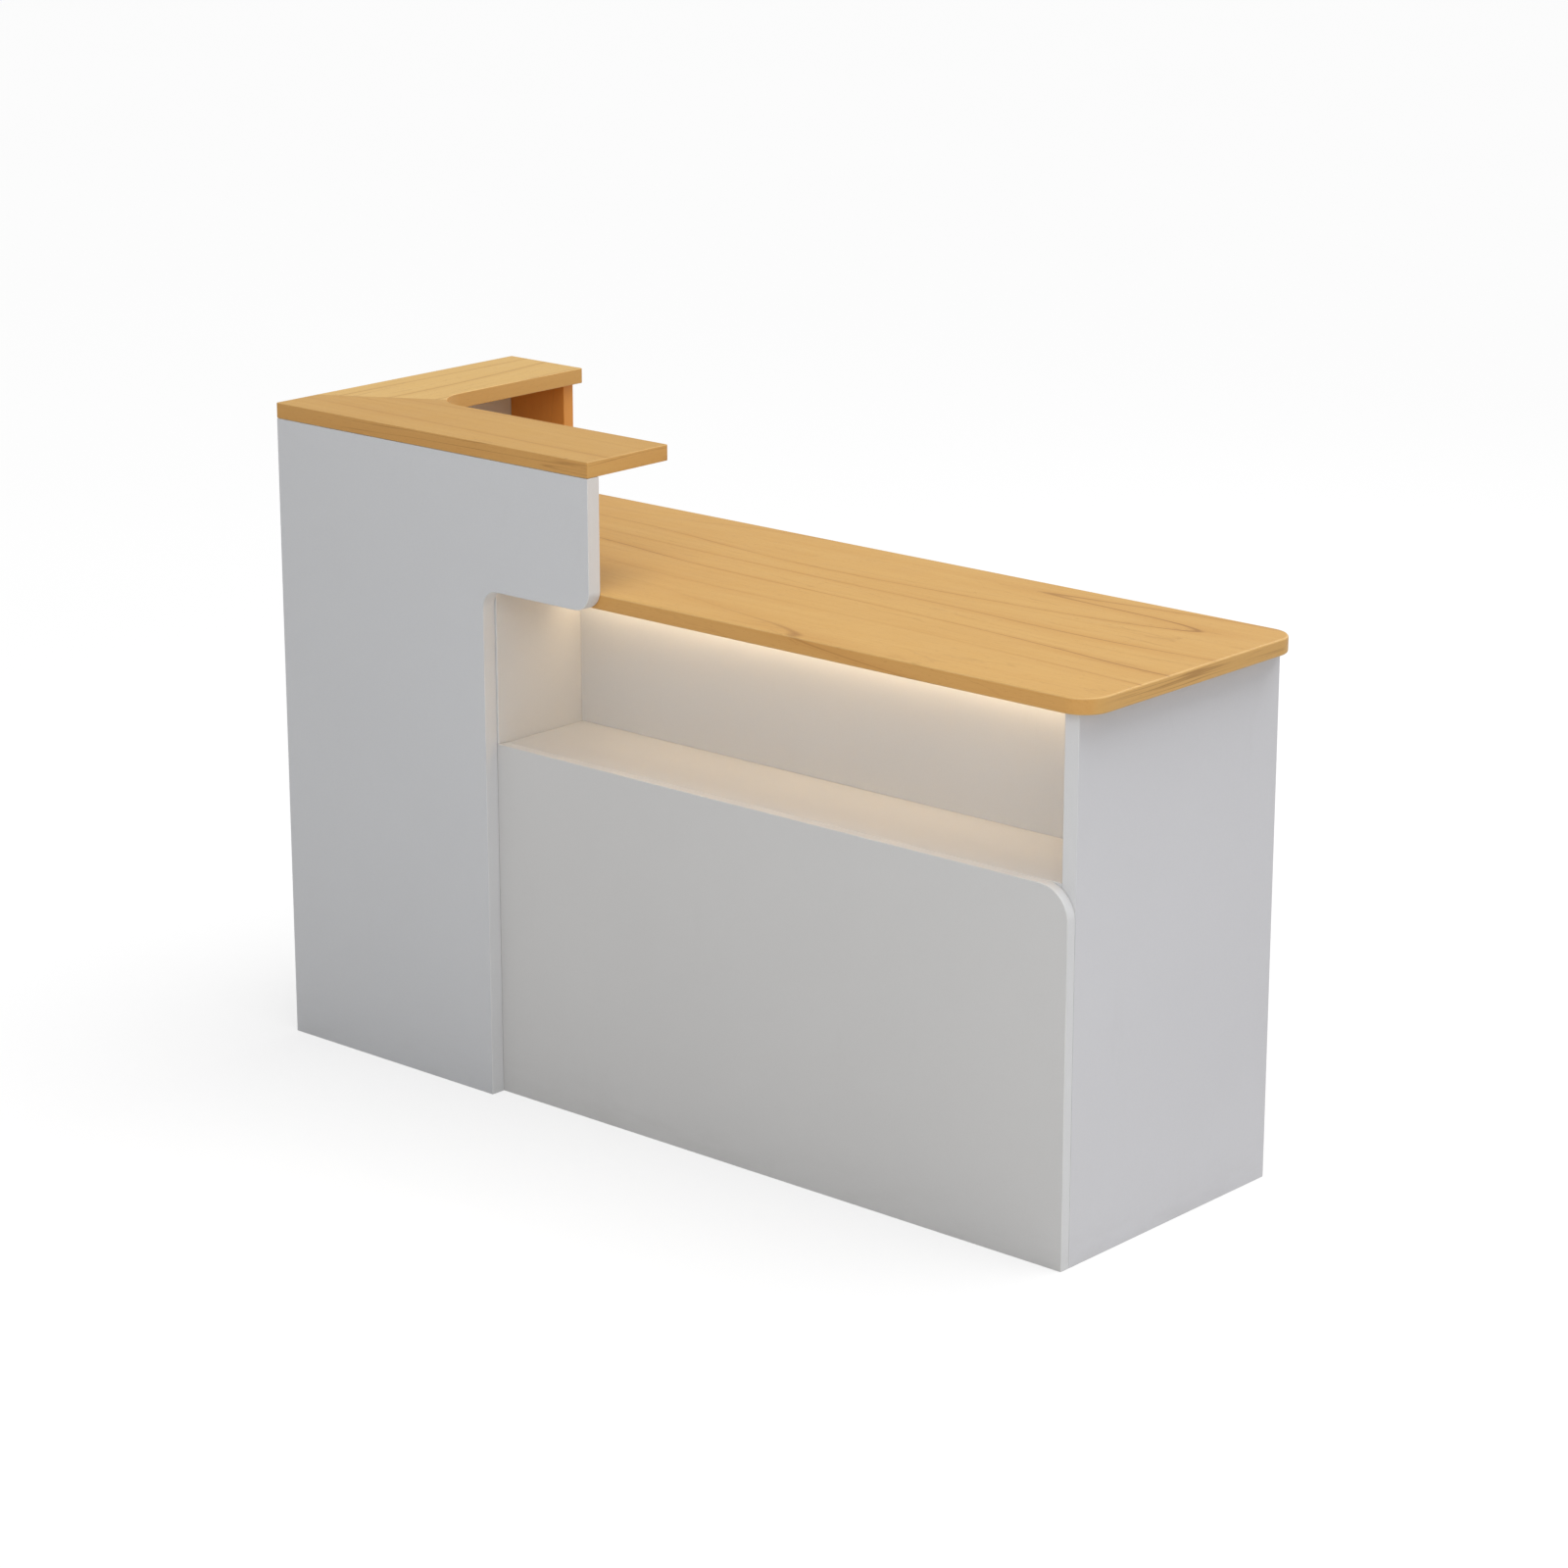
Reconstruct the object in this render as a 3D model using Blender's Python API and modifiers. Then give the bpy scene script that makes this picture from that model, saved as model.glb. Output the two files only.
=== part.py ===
"""Checkout counter with a raised L-shaped ledge, a lit display niche and a staff side.

Metres, +Z up. The origin is on the floor under the centre of the bounding box.
Customers stand on the -Y side, staff on the +Y side, and the length runs along X.
"""
import math

import bmesh
import bpy
from mathutils import Matrix, Vector

# Overall sizes
LENGTH = 1.600             # left end of the ledge to the right end of the worktop
DEPTH = 0.525              # tall front panel to the back edge of the tops
HEIGHT = 1.050             # top of the ledge
WORK_HEIGHT = 0.845        # top of the worktop
NICHE_HEIGHT = 0.570       # floor of the display niche
NICHE_REACH = 0.210        # tall panel's front face to the niche's back wall

# Board thicknesses and the fits between them
TOP_T = 0.025
SIDE_T = 0.025
TALL_T = 0.025
BOARD_T = 0.018
WING_PANEL_T = 0.022
GAP = 0.0003
WORKTOP_EDGE_R = 0.003
LEDGE_EDGE_R = 0.0015
BOARD_EDGE_R = 0.001
EDGE_STEPS = 2
TOP_EDGE_STEPS = 3
OVERRUN = 0.005            # how far a cutter runs past the face it opens

# Tall front panel, ledge and worktop outlines
TALL_WIDTH = 0.680
TALL_FOOT_WIDTH = 0.455
NOTCH_R = 0.028
TALL_CORNER_R = 0.030
LOW_CORNER_R = 0.050
LEDGE_DEPTH = 0.175
WING_WIDTH = 0.163
LEDGE_INNER_R = 0.070
WORKTOP_CORNER_R = 0.045
WING_INSET = 0.015         # wing end panel, in from the ledge's edge
RIGHT_OVERHANG = 0.030
BACK_OVERHANG = 0.007
ARC_STEPS = 15

# Steel angle brackets under the ledge
BRACKET_PLACES = (0.250, 0.600)   # from the counter's left end
BRACKET_REACH = 0.100
BRACKET_DROP = 0.060
BRACKET_WIDTH = 0.040
BRACKET_STEEL = 0.003
BRACKET_BEND_R = 0.004

# Staff side
FACE_RECESS = 0.030        # door and drawer faces, behind the side panels' back edges
PLINTH_HEIGHT = 0.060
PLINTH_RECESS = 0.050
DRAWER_DECK_HEIGHT = 0.640
RAIL_HEIGHT = 0.025
REVEAL = 0.003             # gap round a door or drawer front
PARTITION_LEFT = 1.000     # from the counter's left end
ADJUSTABLE_SHELF_HEIGHT = 0.310
FIXED_SHELF_HEIGHT = 0.350
CABLE_DROP = 0.045         # open depth behind the drawer deck, for cables
FIXED_SHELF_SETBACK = 0.015
LOOSE_SHELF_SETBACK = 0.010
LOOSE_SHELF_PLAY = 0.001

# Faces of the boards
LEFT = -LENGTH / 2
RIGHT = LENGTH / 2
FRONT = -DEPTH / 2
BACK = DEPTH / 2
LEFT_IN = LEFT + SIDE_T
SIDE_OUT = RIGHT - RIGHT_OVERHANG
SIDE_IN = SIDE_OUT - SIDE_T
DIVIDER_RIGHT = LEFT + TALL_FOOT_WIDTH + 0.003
DIVIDER_LEFT = DIVIDER_RIGHT - BOARD_T
MID_LEFT = LEFT + PARTITION_LEFT
MID_RIGHT = MID_LEFT + BOARD_T
TALL_BACK = FRONT + TALL_T
LOW_BACK = TALL_BACK + BOARD_T
NICHE_WALL = FRONT + NICHE_REACH
WALL_BACK = NICHE_WALL + BOARD_T
PANEL_BACK = BACK - BACK_OVERHANG
FACE = PANEL_BACK - FACE_RECESS
FACE_IN = FACE - BOARD_T
WORK_UNDER = WORK_HEIGHT - TOP_T
LEDGE_UNDER = HEIGHT - TOP_T
NICHE_UNDER = NICHE_HEIGHT - BOARD_T
BOTTOM_TOP = PLINTH_HEIGHT + BOARD_T
DECK_TOP = DRAWER_DECK_HEIGHT + BOARD_T

# Till drawer and its telescopic runners
RUNNER_SPACE = 0.013       # between the drawer box and the bay's wall
RUNNER_LENGTH = 0.400
RUNNER_HEIGHT = 0.045
RUNNER_STEEL = 0.0015
RUNNER_STEP = 0.003        # each member is this much lower than the one outside it
RUNNER_CENTRE = 0.037      # above the drawer box's underside
CABINET_MEMBER = (0.0003, 0.0085)   # web and lips, out from the bay's wall
MIDDLE_MEMBER = (0.0030, 0.0105)
DRAWER_MEMBER = (0.0127, 0.0060)
BOX_LOW = DECK_TOP + 0.010
BOX_HIGH = BOX_LOW + 0.082
BOX_WALL = 0.012
BOX_FLOOR = 0.010
BOX_LENGTH = 0.402
DRAWER_FRONT_HIGH = WORK_UNDER - RAIL_HEIGHT - REVEAL

# Drawer lock, in the drawer front above the box
LOCK_X = (LEFT_IN + DIVIDER_LEFT) / 2
LOCK_Z = DRAWER_FRONT_HIGH - 0.020
LOCK_FLANGE_R = 0.0115
LOCK_BODY_R = 0.0092
LOCK_BORE_R = 0.0070
LOCK_BARREL_R = 0.0068
LOCK_FLANGE_T = 0.0015
LOCK_NECK_R = 0.0088       # joins the flange to the body through the front's face
LOCK_NECK_LENGTH = 0.003
LOCK_REACH = 0.0015        # barrel behind the drawer front
LOCK_NOSE = 0.0012         # barrel in front of the drawer front
KEY_SLOT = (0.0012, 0.0065, 0.0020)
CAM_LENGTH = 0.030
CAM_WIDTH = 0.014
CAM_T = 0.002
CAM_TIP_R = 0.004

# Cabinet door on pivot pins
PIVOT_INSET = 0.012
PIVOT_X = LEFT_IN + REVEAL + GAP + PIVOT_INSET
PIVOT_Y = FACE - BOARD_T / 2
DOOR_LOW = BOTTOM_TOP + 0.004
DOOR_HIGH = DRAWER_DECK_HEIGHT - 0.004
PIN_R = 0.0030
PIN_LENGTH = 0.0125
COLLAR_R = 0.006
BUSH_R = 0.0050
BUSH_BORE_R = 0.0032
BUSH_LENGTH = 0.013
DOOR_BORE_R = 0.0054
PIVOT_PLATE = (0.033, 0.016, 0.002)
PIVOT_PLATE_INSET = 0.001
PIVOT_PLAY = 0.0004        # between a collar and the door's edge
BORE_SPARE = 0.0015        # door bore past the end of its bush

# Magnetic catch behind the door's top corner
CATCH_FROM_DIVIDER = (0.080, 0.038)
CATCH_DEPTH = 0.0223
CATCH_HEIGHT = 0.014
CATCH_GAP = 0.0005
STRIKE_T = 0.0012
STRIKE_INSET = 0.003
STRIKE_DROP = 0.002

# Bow handles
HANDLE_SPAN = 0.128
HANDLE_REACH = 0.026
HANDLE_R = 0.005
HANDLE_BEND_R = 0.012
HANDLE_FROM_EDGE = 0.030   # door handle, in from the door's free edge
DOOR_HANDLE_Z = 0.500
DRAWER_HANDLE_Z = 0.712

# Light in the niche
CHANNEL_FROM_WALL = 0.016  # channel's back face, in front of the niche's back wall
CHANNEL_WIDTH = 0.017
CHANNEL_HEIGHT = 0.008
CHANNEL_WALL = 0.001
CHANNEL_END_GAP = 0.012
STRIP_WIDTH = 0.010
STRIP_T = 0.001
STRIP_END_GAP = 0.002
DIFFUSER_HIGH = 0.002      # its top face, above the channel's lips
DRIVER_LEFT = 0.560
DRIVER_SIZE = (0.140, 0.030, 0.035)
DRIVER_HIGH = 0.800
DRIVER_EDGE_R = 0.0015
INLET = (0.012, 0.020, 0.009)
INLET_HIGH = 0.009         # inlet's middle, above the driver's underside
LEAD_R = 0.002
LEAD_Z = WORK_UNDER - 0.0035
OUTPUT_Z = DRIVER_HIGH - 0.015   # low-voltage lead's exit
SUPPLY_Z = DRIVER_HIGH - 0.009   # switch lead's exit
LEAD_SIDE_GAP = 0.006      # lead's middle to the right side panel

# Rocker switch under the worktop's back edge
SWITCH_X = 0.3225
SWITCH_SIZE = (0.045, 0.025, 0.025)
SWITCH_EDGE_R = 0.0015
WINDOW = (0.021, 0.014)
WINDOW_DEPTH = 0.016
ROCKER_AXIS_DEPTH = 0.005
ROCKER_GAP = 0.0008
ROCKER_SWING_ROOM = 0.0006
ROCKER_SECTION = (0.0062, 0.0048, -0.0045)   # crown, dip and root, from the axis
ROCKER_ROOT_SHARE = 0.55   # root's height against the face's
ROCKER_LIP = 0.001
ROCKER_TILT = math.radians(7)

# Cable grommet in the worktop, behind the tall panel
GROMMET_X = -0.440
GROMMET_Y = FRONT + 0.0625
GROMMET_HOLE_R = 0.025
GROMMET_SLEEVE_R = 0.0245
GROMMET_BORE_R = 0.0215
GROMMET_FLANGE_R = 0.029
GROMMET_FLANGE_T = 0.0025
GROMMET_FLANGE_BEVEL = 0.001
GROMMET_SLEEVE_GAP = 0.003   # sleeve's end above the worktop's underside

# Shelf pins
PIN_HOLE_R = 0.0028
SHELF_PIN_R = 0.0025
SHELF_PIN_IN = 0.008
SHELF_PIN_OUT = 0.009
PIN_PITCH = 0.032
PIN_ROWS = (-1, 0, 1)
PIN_FRONT_Y = -0.150
PIN_BACK_Y = 0.150

ROUND_SIDES = 24
HOLE_SIDES = 12

WOOD = ((0.66, 0.42, 0.17), 0.42, 0.0)
WOOD_SHADE = ((0.60, 0.35, 0.13), 0.45, 0.0)
WHITE = ((0.80, 0.80, 0.80), 0.38, 0.0)
STEEL = ((0.62, 0.63, 0.64), 0.32, 1.0)
ALUMINIUM = ((0.78, 0.79, 0.80), 0.28, 1.0)
WHITE_PLASTIC = ((0.86, 0.86, 0.85), 0.35, 0.0)
GREY_PLASTIC = ((0.30, 0.31, 0.32), 0.45, 0.0)
BLACK_PLASTIC = ((0.02, 0.02, 0.022), 0.35, 0.0)
DIFFUSER = ((1.0, 0.90, 0.72), 0.50, 0.0)

for old in list(bpy.data.objects):
    bpy.data.objects.remove(old, do_unlink=True)

part_collection = bpy.data.collections.new("checkout_counter")
cutter_collection = bpy.data.collections.new("cutters")
bpy.context.scene.collection.children.link(part_collection)
bpy.context.scene.collection.children.link(cutter_collection)


def paint(name, finish):
    """A material of its own for one piece, from its colour, roughness and metallic value."""
    colour, roughness, metallic = finish
    mat = bpy.data.materials.new(name + "_material")
    mat.use_nodes = True
    shader = mat.node_tree.nodes["Principled BSDF"]
    shader.inputs["Base Color"].default_value = (*colour, 1.0)
    shader.inputs["Roughness"].default_value = roughness
    shader.inputs["Metallic"].default_value = metallic
    mat.diffuse_color = (*colour, 1.0)
    return mat


def add_mesh(name, bm, finish, location=(0, 0, 0)):
    """Put a finished bmesh in the part's collection as the named piece."""
    mesh = bpy.data.meshes.new(name)
    bm.to_mesh(mesh)
    bm.free()
    mesh.shade_smooth()
    mesh.set_sharp_from_angle(angle=math.radians(35))
    mesh.materials.append(paint(name, finish))
    obj = bpy.data.objects.new(name, mesh)
    obj.location = location
    part_collection.objects.link(obj)
    return obj


def soften(obj, radius):
    """Round the sharp edges, as edge banding does."""
    bevel = obj.modifiers.new("edges", "BEVEL")
    bevel.width = radius
    bevel.segments = EDGE_STEPS if radius <= BOARD_EDGE_R else TOP_EDGE_STEPS
    bevel.limit_method = "ANGLE"
    bevel.angle_limit = math.radians(40)
    return obj


def as_tool(obj):
    """Hide a piece that only cuts another or is joined to it."""
    part_collection.objects.unlink(obj)
    cutter_collection.objects.link(obj)
    obj.hide_render = True
    obj.display_type = "WIRE"
    return obj


def combine(obj, tool, operation):
    modifier = obj.modifiers.new(operation.lower(), "BOOLEAN")
    modifier.operation = operation
    modifier.solver = "EXACT"
    modifier.object = as_tool(tool)
    return obj


def cut(obj, tool):
    return combine(obj, tool, "DIFFERENCE")


def join(obj, tool):
    return combine(obj, tool, "UNION")


def box(name, low, high, finish=WHITE, edge=0.0):
    """A block between two corners, with its origin at its centre."""
    low, high = Vector(low), Vector(high)
    bm = bmesh.new()
    bmesh.ops.create_cube(bm, size=1.0)
    bmesh.ops.scale(bm, vec=high - low, verts=bm.verts)
    obj = add_mesh(name, bm, finish, (low + high) / 2)
    return soften(obj, edge) if edge else obj


def cylinder(name, centre, radius, length, axis="Z", finish=STEEL, sides=ROUND_SIDES):
    """A capped cylinder centred on a point, along a world axis."""
    turn = {"X": Matrix.Rotation(math.pi / 2, 4, "Y"),
            "Y": Matrix.Rotation(math.pi / 2, 4, "X"),
            "Z": Matrix.Identity(4)}[axis]
    bm = bmesh.new()
    bmesh.ops.create_cone(bm, cap_ends=True, segments=sides, radius1=radius,
                          radius2=radius, depth=length, matrix=turn)
    return add_mesh(name, bm, finish, centre)


def rounded(corners, closed=True, steps=ARC_STEPS):
    """Points of an outline whose right-angle corners (u, v, radius) are arcs."""
    points = []
    for index, (u, v, radius) in enumerate(corners):
        here = Vector((u, v))
        is_end = not closed and index in (0, len(corners) - 1)
        if radius == 0 or is_end:
            points.append(here)
            continue
        before = (Vector(corners[index - 1][:2]) - here).normalized()
        after = (Vector(corners[(index + 1) % len(corners)][:2]) - here).normalized()
        centre = here + radius * (before + after)
        for step in range(steps + 1):
            turn = step / steps * math.pi / 2
            points.append(centre - radius * (math.cos(turn) * after + math.sin(turn) * before))
    return points


def mesh_from_curve(name, curve, finish, matrix):
    """Turn a curve into a welded mesh piece and remove the curve."""
    source = bpy.data.objects.new(name + "_curve", curve)
    part_collection.objects.link(source)
    source.matrix_world = matrix
    bpy.context.view_layer.update()
    evaluated = source.evaluated_get(bpy.context.evaluated_depsgraph_get())
    mesh = bpy.data.meshes.new_from_object(evaluated)
    bm = bmesh.new()
    bm.from_mesh(mesh)
    bmesh.ops.remove_doubles(bm, verts=bm.verts, dist=0.00001)
    bmesh.ops.dissolve_limit(bm, angle_limit=math.radians(1), verts=bm.verts, edges=bm.edges)
    bpy.data.meshes.remove(mesh)
    bpy.data.objects.remove(source, do_unlink=True)
    bpy.data.curves.remove(curve)
    obj = add_mesh(name, bm, finish)
    obj.matrix_world = matrix
    return obj


PLANES = {
    "X": lambda at: Matrix.Translation((at, 0, 0)) @ Matrix(((0, 0, 1, 0), (1, 0, 0, 0),
                                                           (0, 1, 0, 0), (0, 0, 0, 1))),
    "Y": lambda at: Matrix.Translation((0, at, 0)) @ Matrix.Rotation(math.pi / 2, 4, "X"),
    "Z": lambda at: Matrix.Translation((0, 0, at)),
}


def outline(name, corners, normal, start, end, finish=WHITE, edge=0.0, steps=ARC_STEPS):
    """A flat outline given thickness along the normal: its (u, v) is YZ, XZ or XY."""
    curve = bpy.data.curves.new(name, "CURVE")
    curve.dimensions = "2D"
    curve.fill_mode = "BOTH"
    curve.extrude = (end - start) / 2
    points = rounded(corners, steps=steps)
    spline = curve.splines.new("POLY")
    spline.points.add(len(points) - 1)
    for point, (u, v) in zip(spline.points, points):
        point.co = (u, v, 0, 1)
    spline.use_cyclic_u = True
    obj = mesh_from_curve(name, curve, finish, PLANES[normal]((start + end) / 2))
    return soften(obj, edge) if edge else obj


def tube(name, points, radius, finish, resolution=2):
    """A round bar or lead along a polyline, with filled ends."""
    curve = bpy.data.curves.new(name, "CURVE")
    curve.dimensions = "3D"
    curve.bevel_depth = radius
    curve.bevel_resolution = resolution
    curve.use_fill_caps = True
    spline = curve.splines.new("POLY")
    spline.points.add(len(points) - 1)
    for point, place in zip(spline.points, points):
        point.co = (*place, 1)
    return mesh_from_curve(name, curve, finish, Matrix.Identity(4))


def turned(name, profile, centre, finish, sides=ROUND_SIDES):
    """A closed (radius, height) profile turned about the vertical axis at the centre."""
    bm = bmesh.new()
    verts = [bm.verts.new((radius, 0, height)) for radius, height in profile]
    for start, end in zip(verts, verts[1:] + verts[:1]):
        bm.edges.new((start, end))
    obj = add_mesh(name, bm, finish, centre)
    screw = obj.modifiers.new("turn", "SCREW")
    screw.axis = "Z"
    screw.steps = sides
    screw.render_steps = sides
    screw.use_merge_vertices = True
    screw.merge_threshold = 0.00001
    return obj


def empty(name, location):
    """A joint's origin, which its moving pieces are parented to."""
    obj = bpy.data.objects.new(name, None)
    obj.location = location
    part_collection.objects.link(obj)
    return obj


def parent_to(pivot, pieces):
    for piece in pieces:
        piece.parent = pivot
        piece.matrix_parent_inverse = Matrix.Translation(pivot.location).inverted()


def customer_side():
    """The tops, the front panels and the side panels."""
    outline("tall_front_panel",
            [(LEFT, 0, 0), (LEFT + TALL_FOOT_WIDTH, 0, 0),
             (LEFT + TALL_FOOT_WIDTH, WORK_UNDER, NOTCH_R),
             (LEFT + TALL_WIDTH, WORK_UNDER, TALL_CORNER_R),
             (LEFT + TALL_WIDTH, LEDGE_UNDER - GAP, 0), (LEFT, LEDGE_UNDER - GAP, 0)],
            "Y", FRONT, TALL_BACK, edge=BOARD_EDGE_R)
    outline("low_front_panel",
            [(LEFT_IN + GAP, 0, 0), (SIDE_OUT, 0, 0), (SIDE_OUT, NICHE_HEIGHT, LOW_CORNER_R),
             (LEFT_IN + GAP, NICHE_HEIGHT, 0)],
            "Y", TALL_BACK + GAP, LOW_BACK, edge=BOARD_EDGE_R)
    box("left_side_panel", (LEFT, TALL_BACK + GAP, 0), (LEFT_IN, PANEL_BACK, LEDGE_UNDER - GAP),
        edge=BOARD_EDGE_R)
    outline("ledge_top",
            [(LEFT, FRONT, 0), (LEFT + TALL_WIDTH, FRONT, 0),
             (LEFT + TALL_WIDTH, FRONT + LEDGE_DEPTH, 0),
             (LEFT + WING_WIDTH, FRONT + LEDGE_DEPTH, LEDGE_INNER_R),
             (LEFT + WING_WIDTH, BACK, 0), (LEFT, BACK, 0)],
            "Z", LEDGE_UNDER, HEIGHT, WOOD, LEDGE_EDGE_R)
    worktop = outline("worktop",
                      [(LEFT_IN + GAP, TALL_BACK + GAP, 0),
                       (RIGHT, TALL_BACK + GAP, WORKTOP_CORNER_R),
                       (RIGHT, BACK, WORKTOP_CORNER_R), (LEFT_IN + GAP, BACK, 0)],
                      "Z", WORK_UNDER, WORK_HEIGHT, WOOD, WORKTOP_EDGE_R)
    cut(worktop, cylinder("grommet_hole", (GROMMET_X, GROMMET_Y, WORK_HEIGHT - TOP_T / 2),
                          GROMMET_HOLE_R, 2 * TOP_T, sides=2 * ROUND_SIDES))
    box("wing_end_panel", (LEFT_IN + GAP, PANEL_BACK - WING_PANEL_T, WORK_HEIGHT + GAP),
        (LEFT + WING_WIDTH - WING_INSET, PANEL_BACK, LEDGE_UNDER - GAP), WOOD_SHADE, BOARD_EDGE_R)
    sleeve_low = WORK_UNDER + GROMMET_SLEEVE_GAP
    flange_low = WORK_HEIGHT + GAP
    flange_high = flange_low + GROMMET_FLANGE_T
    turned("cable_grommet",
           [(GROMMET_BORE_R, flange_high),
            (GROMMET_FLANGE_R - GROMMET_FLANGE_BEVEL, flange_high),
            (GROMMET_FLANGE_R, flange_low), (GROMMET_SLEEVE_R, flange_low),
            (GROMMET_SLEEVE_R, sleeve_low), (GROMMET_BORE_R, sleeve_low)],
           (GROMMET_X, GROMMET_Y, 0), GREY_PLASTIC, 2 * ROUND_SIDES)
    near, top = TALL_BACK + GAP, LEDGE_UNDER - GAP
    for number, place in enumerate(BRACKET_PLACES, start=1):
        outline("ledge_bracket_%d" % number,
                [(near, top, 0), (near, top - BRACKET_DROP, 0),
                 (near + BRACKET_STEEL, top - BRACKET_DROP, 0),
                 (near + BRACKET_STEEL, top - BRACKET_STEEL, BRACKET_BEND_R),
                 (near + BRACKET_REACH, top - BRACKET_STEEL, 0), (near + BRACKET_REACH, top, 0)],
                "X", LEFT + place, LEFT + place + BRACKET_WIDTH, STEEL, steps=3)


def pin_holes(panel, face_x, side):
    """Rows of shelf-pin holes in the face of a panel that looks towards side (+1 or -1)."""
    for y in (PIN_FRONT_Y, PIN_BACK_Y):
        for row in PIN_ROWS:
            z = ADJUSTABLE_SHELF_HEIGHT - SHELF_PIN_R - GAP + row * PIN_PITCH
            centre = (face_x - side * (SHELF_PIN_IN + GAP) / 2, y, z)
            name = "%s_hole_%d_%d" % (panel.name, row, y > 0)
            cut(panel, cylinder(name, centre, PIN_HOLE_R, SHELF_PIN_IN + 3 * GAP, "X",
                                sides=HOLE_SIDES))


def carcass():
    """The boards that carry the tops and divide the staff side into bays."""
    right_side = box("right_side_panel", (SIDE_IN, LOW_BACK + GAP, 0),
                     (SIDE_OUT, PANEL_BACK, WORK_UNDER - GAP), edge=BOARD_EDGE_R)
    divider = outline("niche_divider",
                      [(LOW_BACK + GAP, 0, 0), (PANEL_BACK, 0, 0),
                       (PANEL_BACK, WORK_UNDER - GAP, 0), (TALL_BACK + GAP, WORK_UNDER - GAP, 0),
                       (TALL_BACK + GAP, NICHE_HEIGHT + GAP, 0),
                       (LOW_BACK + GAP, NICHE_HEIGHT + GAP, 0)],
                      "X", DIVIDER_LEFT, DIVIDER_RIGHT, edge=BOARD_EDGE_R)
    box("niche_deck", (DIVIDER_RIGHT + GAP, LOW_BACK + GAP, NICHE_UNDER),
        (SIDE_IN - GAP, FACE, NICHE_HEIGHT), edge=BOARD_EDGE_R)
    lead_notch = 0.010
    outline("niche_back_wall",
            [(DIVIDER_RIGHT + GAP, NICHE_HEIGHT + GAP, 0), (SIDE_IN - GAP, NICHE_HEIGHT + GAP, 0),
             (SIDE_IN - GAP, WORK_UNDER - lead_notch, 0),
             (SIDE_IN - CHANNEL_END_GAP, WORK_UNDER - lead_notch, 0),
             (SIDE_IN - CHANNEL_END_GAP, WORK_UNDER - GAP, 0),
             (DIVIDER_RIGHT + GAP, WORK_UNDER - GAP, 0)],
            "Y", NICHE_WALL, WALL_BACK)
    lower = box("lower_partition", (MID_LEFT, LOW_BACK + GAP, BOTTOM_TOP + GAP),
                (MID_RIGHT, FACE, NICHE_UNDER - GAP), edge=BOARD_EDGE_R)
    box("upper_partition", (MID_LEFT, WALL_BACK + GAP, NICHE_HEIGHT + GAP),
        (MID_RIGHT, FACE, WORK_UNDER - GAP), edge=BOARD_EDGE_R)
    for side, left, right in (("left", LEFT_IN, DIVIDER_LEFT), ("right", DIVIDER_RIGHT, SIDE_IN)):
        box(side + "_bottom_panel", (left + GAP, LOW_BACK + GAP, PLINTH_HEIGHT),
            (right - GAP, FACE, BOTTOM_TOP), edge=BOARD_EDGE_R)
        box(side + "_plinth", (left + GAP, FACE - PLINTH_RECESS - BOARD_T, 0),
            (right - GAP, FACE - PLINTH_RECESS, PLINTH_HEIGHT - GAP), edge=BOARD_EDGE_R)
    box("drawer_deck", (LEFT_IN + GAP, TALL_BACK + CABLE_DROP, DRAWER_DECK_HEIGHT),
        (DIVIDER_LEFT - GAP, FACE, DECK_TOP), edge=BOARD_EDGE_R)
    box("top_rail", (LEFT_IN + GAP, FACE_IN, WORK_UNDER - RAIL_HEIGHT),
        (DIVIDER_LEFT - GAP, FACE, WORK_UNDER - GAP), edge=BOARD_EDGE_R)
    box("cabinet_shelf", (LEFT_IN + GAP, LOW_BACK + GAP, FIXED_SHELF_HEIGHT),
        (DIVIDER_LEFT - GAP, FACE_IN - FIXED_SHELF_SETBACK, FIXED_SHELF_HEIGHT + BOARD_T),
        edge=BOARD_EDGE_R)
    pin_holes(divider, DIVIDER_RIGHT, 1)
    pin_holes(lower, MID_LEFT, -1)
    pin_holes(lower, MID_RIGHT, 1)
    pin_holes(right_side, SIDE_IN, -1)


def adjustable_shelves():
    """Two loose shelves, each on four steel pins."""
    pin_length = SHELF_PIN_IN + SHELF_PIN_OUT
    for name, left, right in (("middle", DIVIDER_RIGHT, MID_LEFT), ("right", MID_RIGHT, SIDE_IN)):
        box(name + "_shelf",
            (left + LOOSE_SHELF_PLAY, LOW_BACK + LOOSE_SHELF_SETBACK, ADJUSTABLE_SHELF_HEIGHT),
            (right - LOOSE_SHELF_PLAY, FACE - LOOSE_SHELF_SETBACK,
             ADJUSTABLE_SHELF_HEIGHT + BOARD_T), edge=BOARD_EDGE_R)
        number = 0
        for wall, side in ((left, 1), (right, -1)):
            for y in (PIN_FRONT_Y, PIN_BACK_Y):
                number += 1
                centre = (wall + side * (pin_length / 2 - SHELF_PIN_IN), y,
                          ADJUSTABLE_SHELF_HEIGHT - SHELF_PIN_R - GAP)
                cylinder("%s_shelf_pin_%d" % (name, number), centre, SHELF_PIN_R, pin_length, "X",
                         sides=HOLE_SIDES)


def smooth_path(points, steps=6):
    """Catmull-Rom curve through the points, so that a lead has no kinks."""
    points = [Vector(point) for point in points]
    padded = [2 * points[0] - points[1]] + points + [2 * points[-1] - points[-2]]
    path = []
    for a, b, c, d in zip(padded, padded[1:], padded[2:], padded[3:]):
        for step in range(steps):
            t = step / steps
            path.append(0.5 * (2 * b + (c - a) * t + (2 * a - 5 * b + 4 * c - d) * t * t
                               + (3 * b - a - 3 * c + d) * t ** 3))
    path.append(points[-1])
    return path


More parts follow.
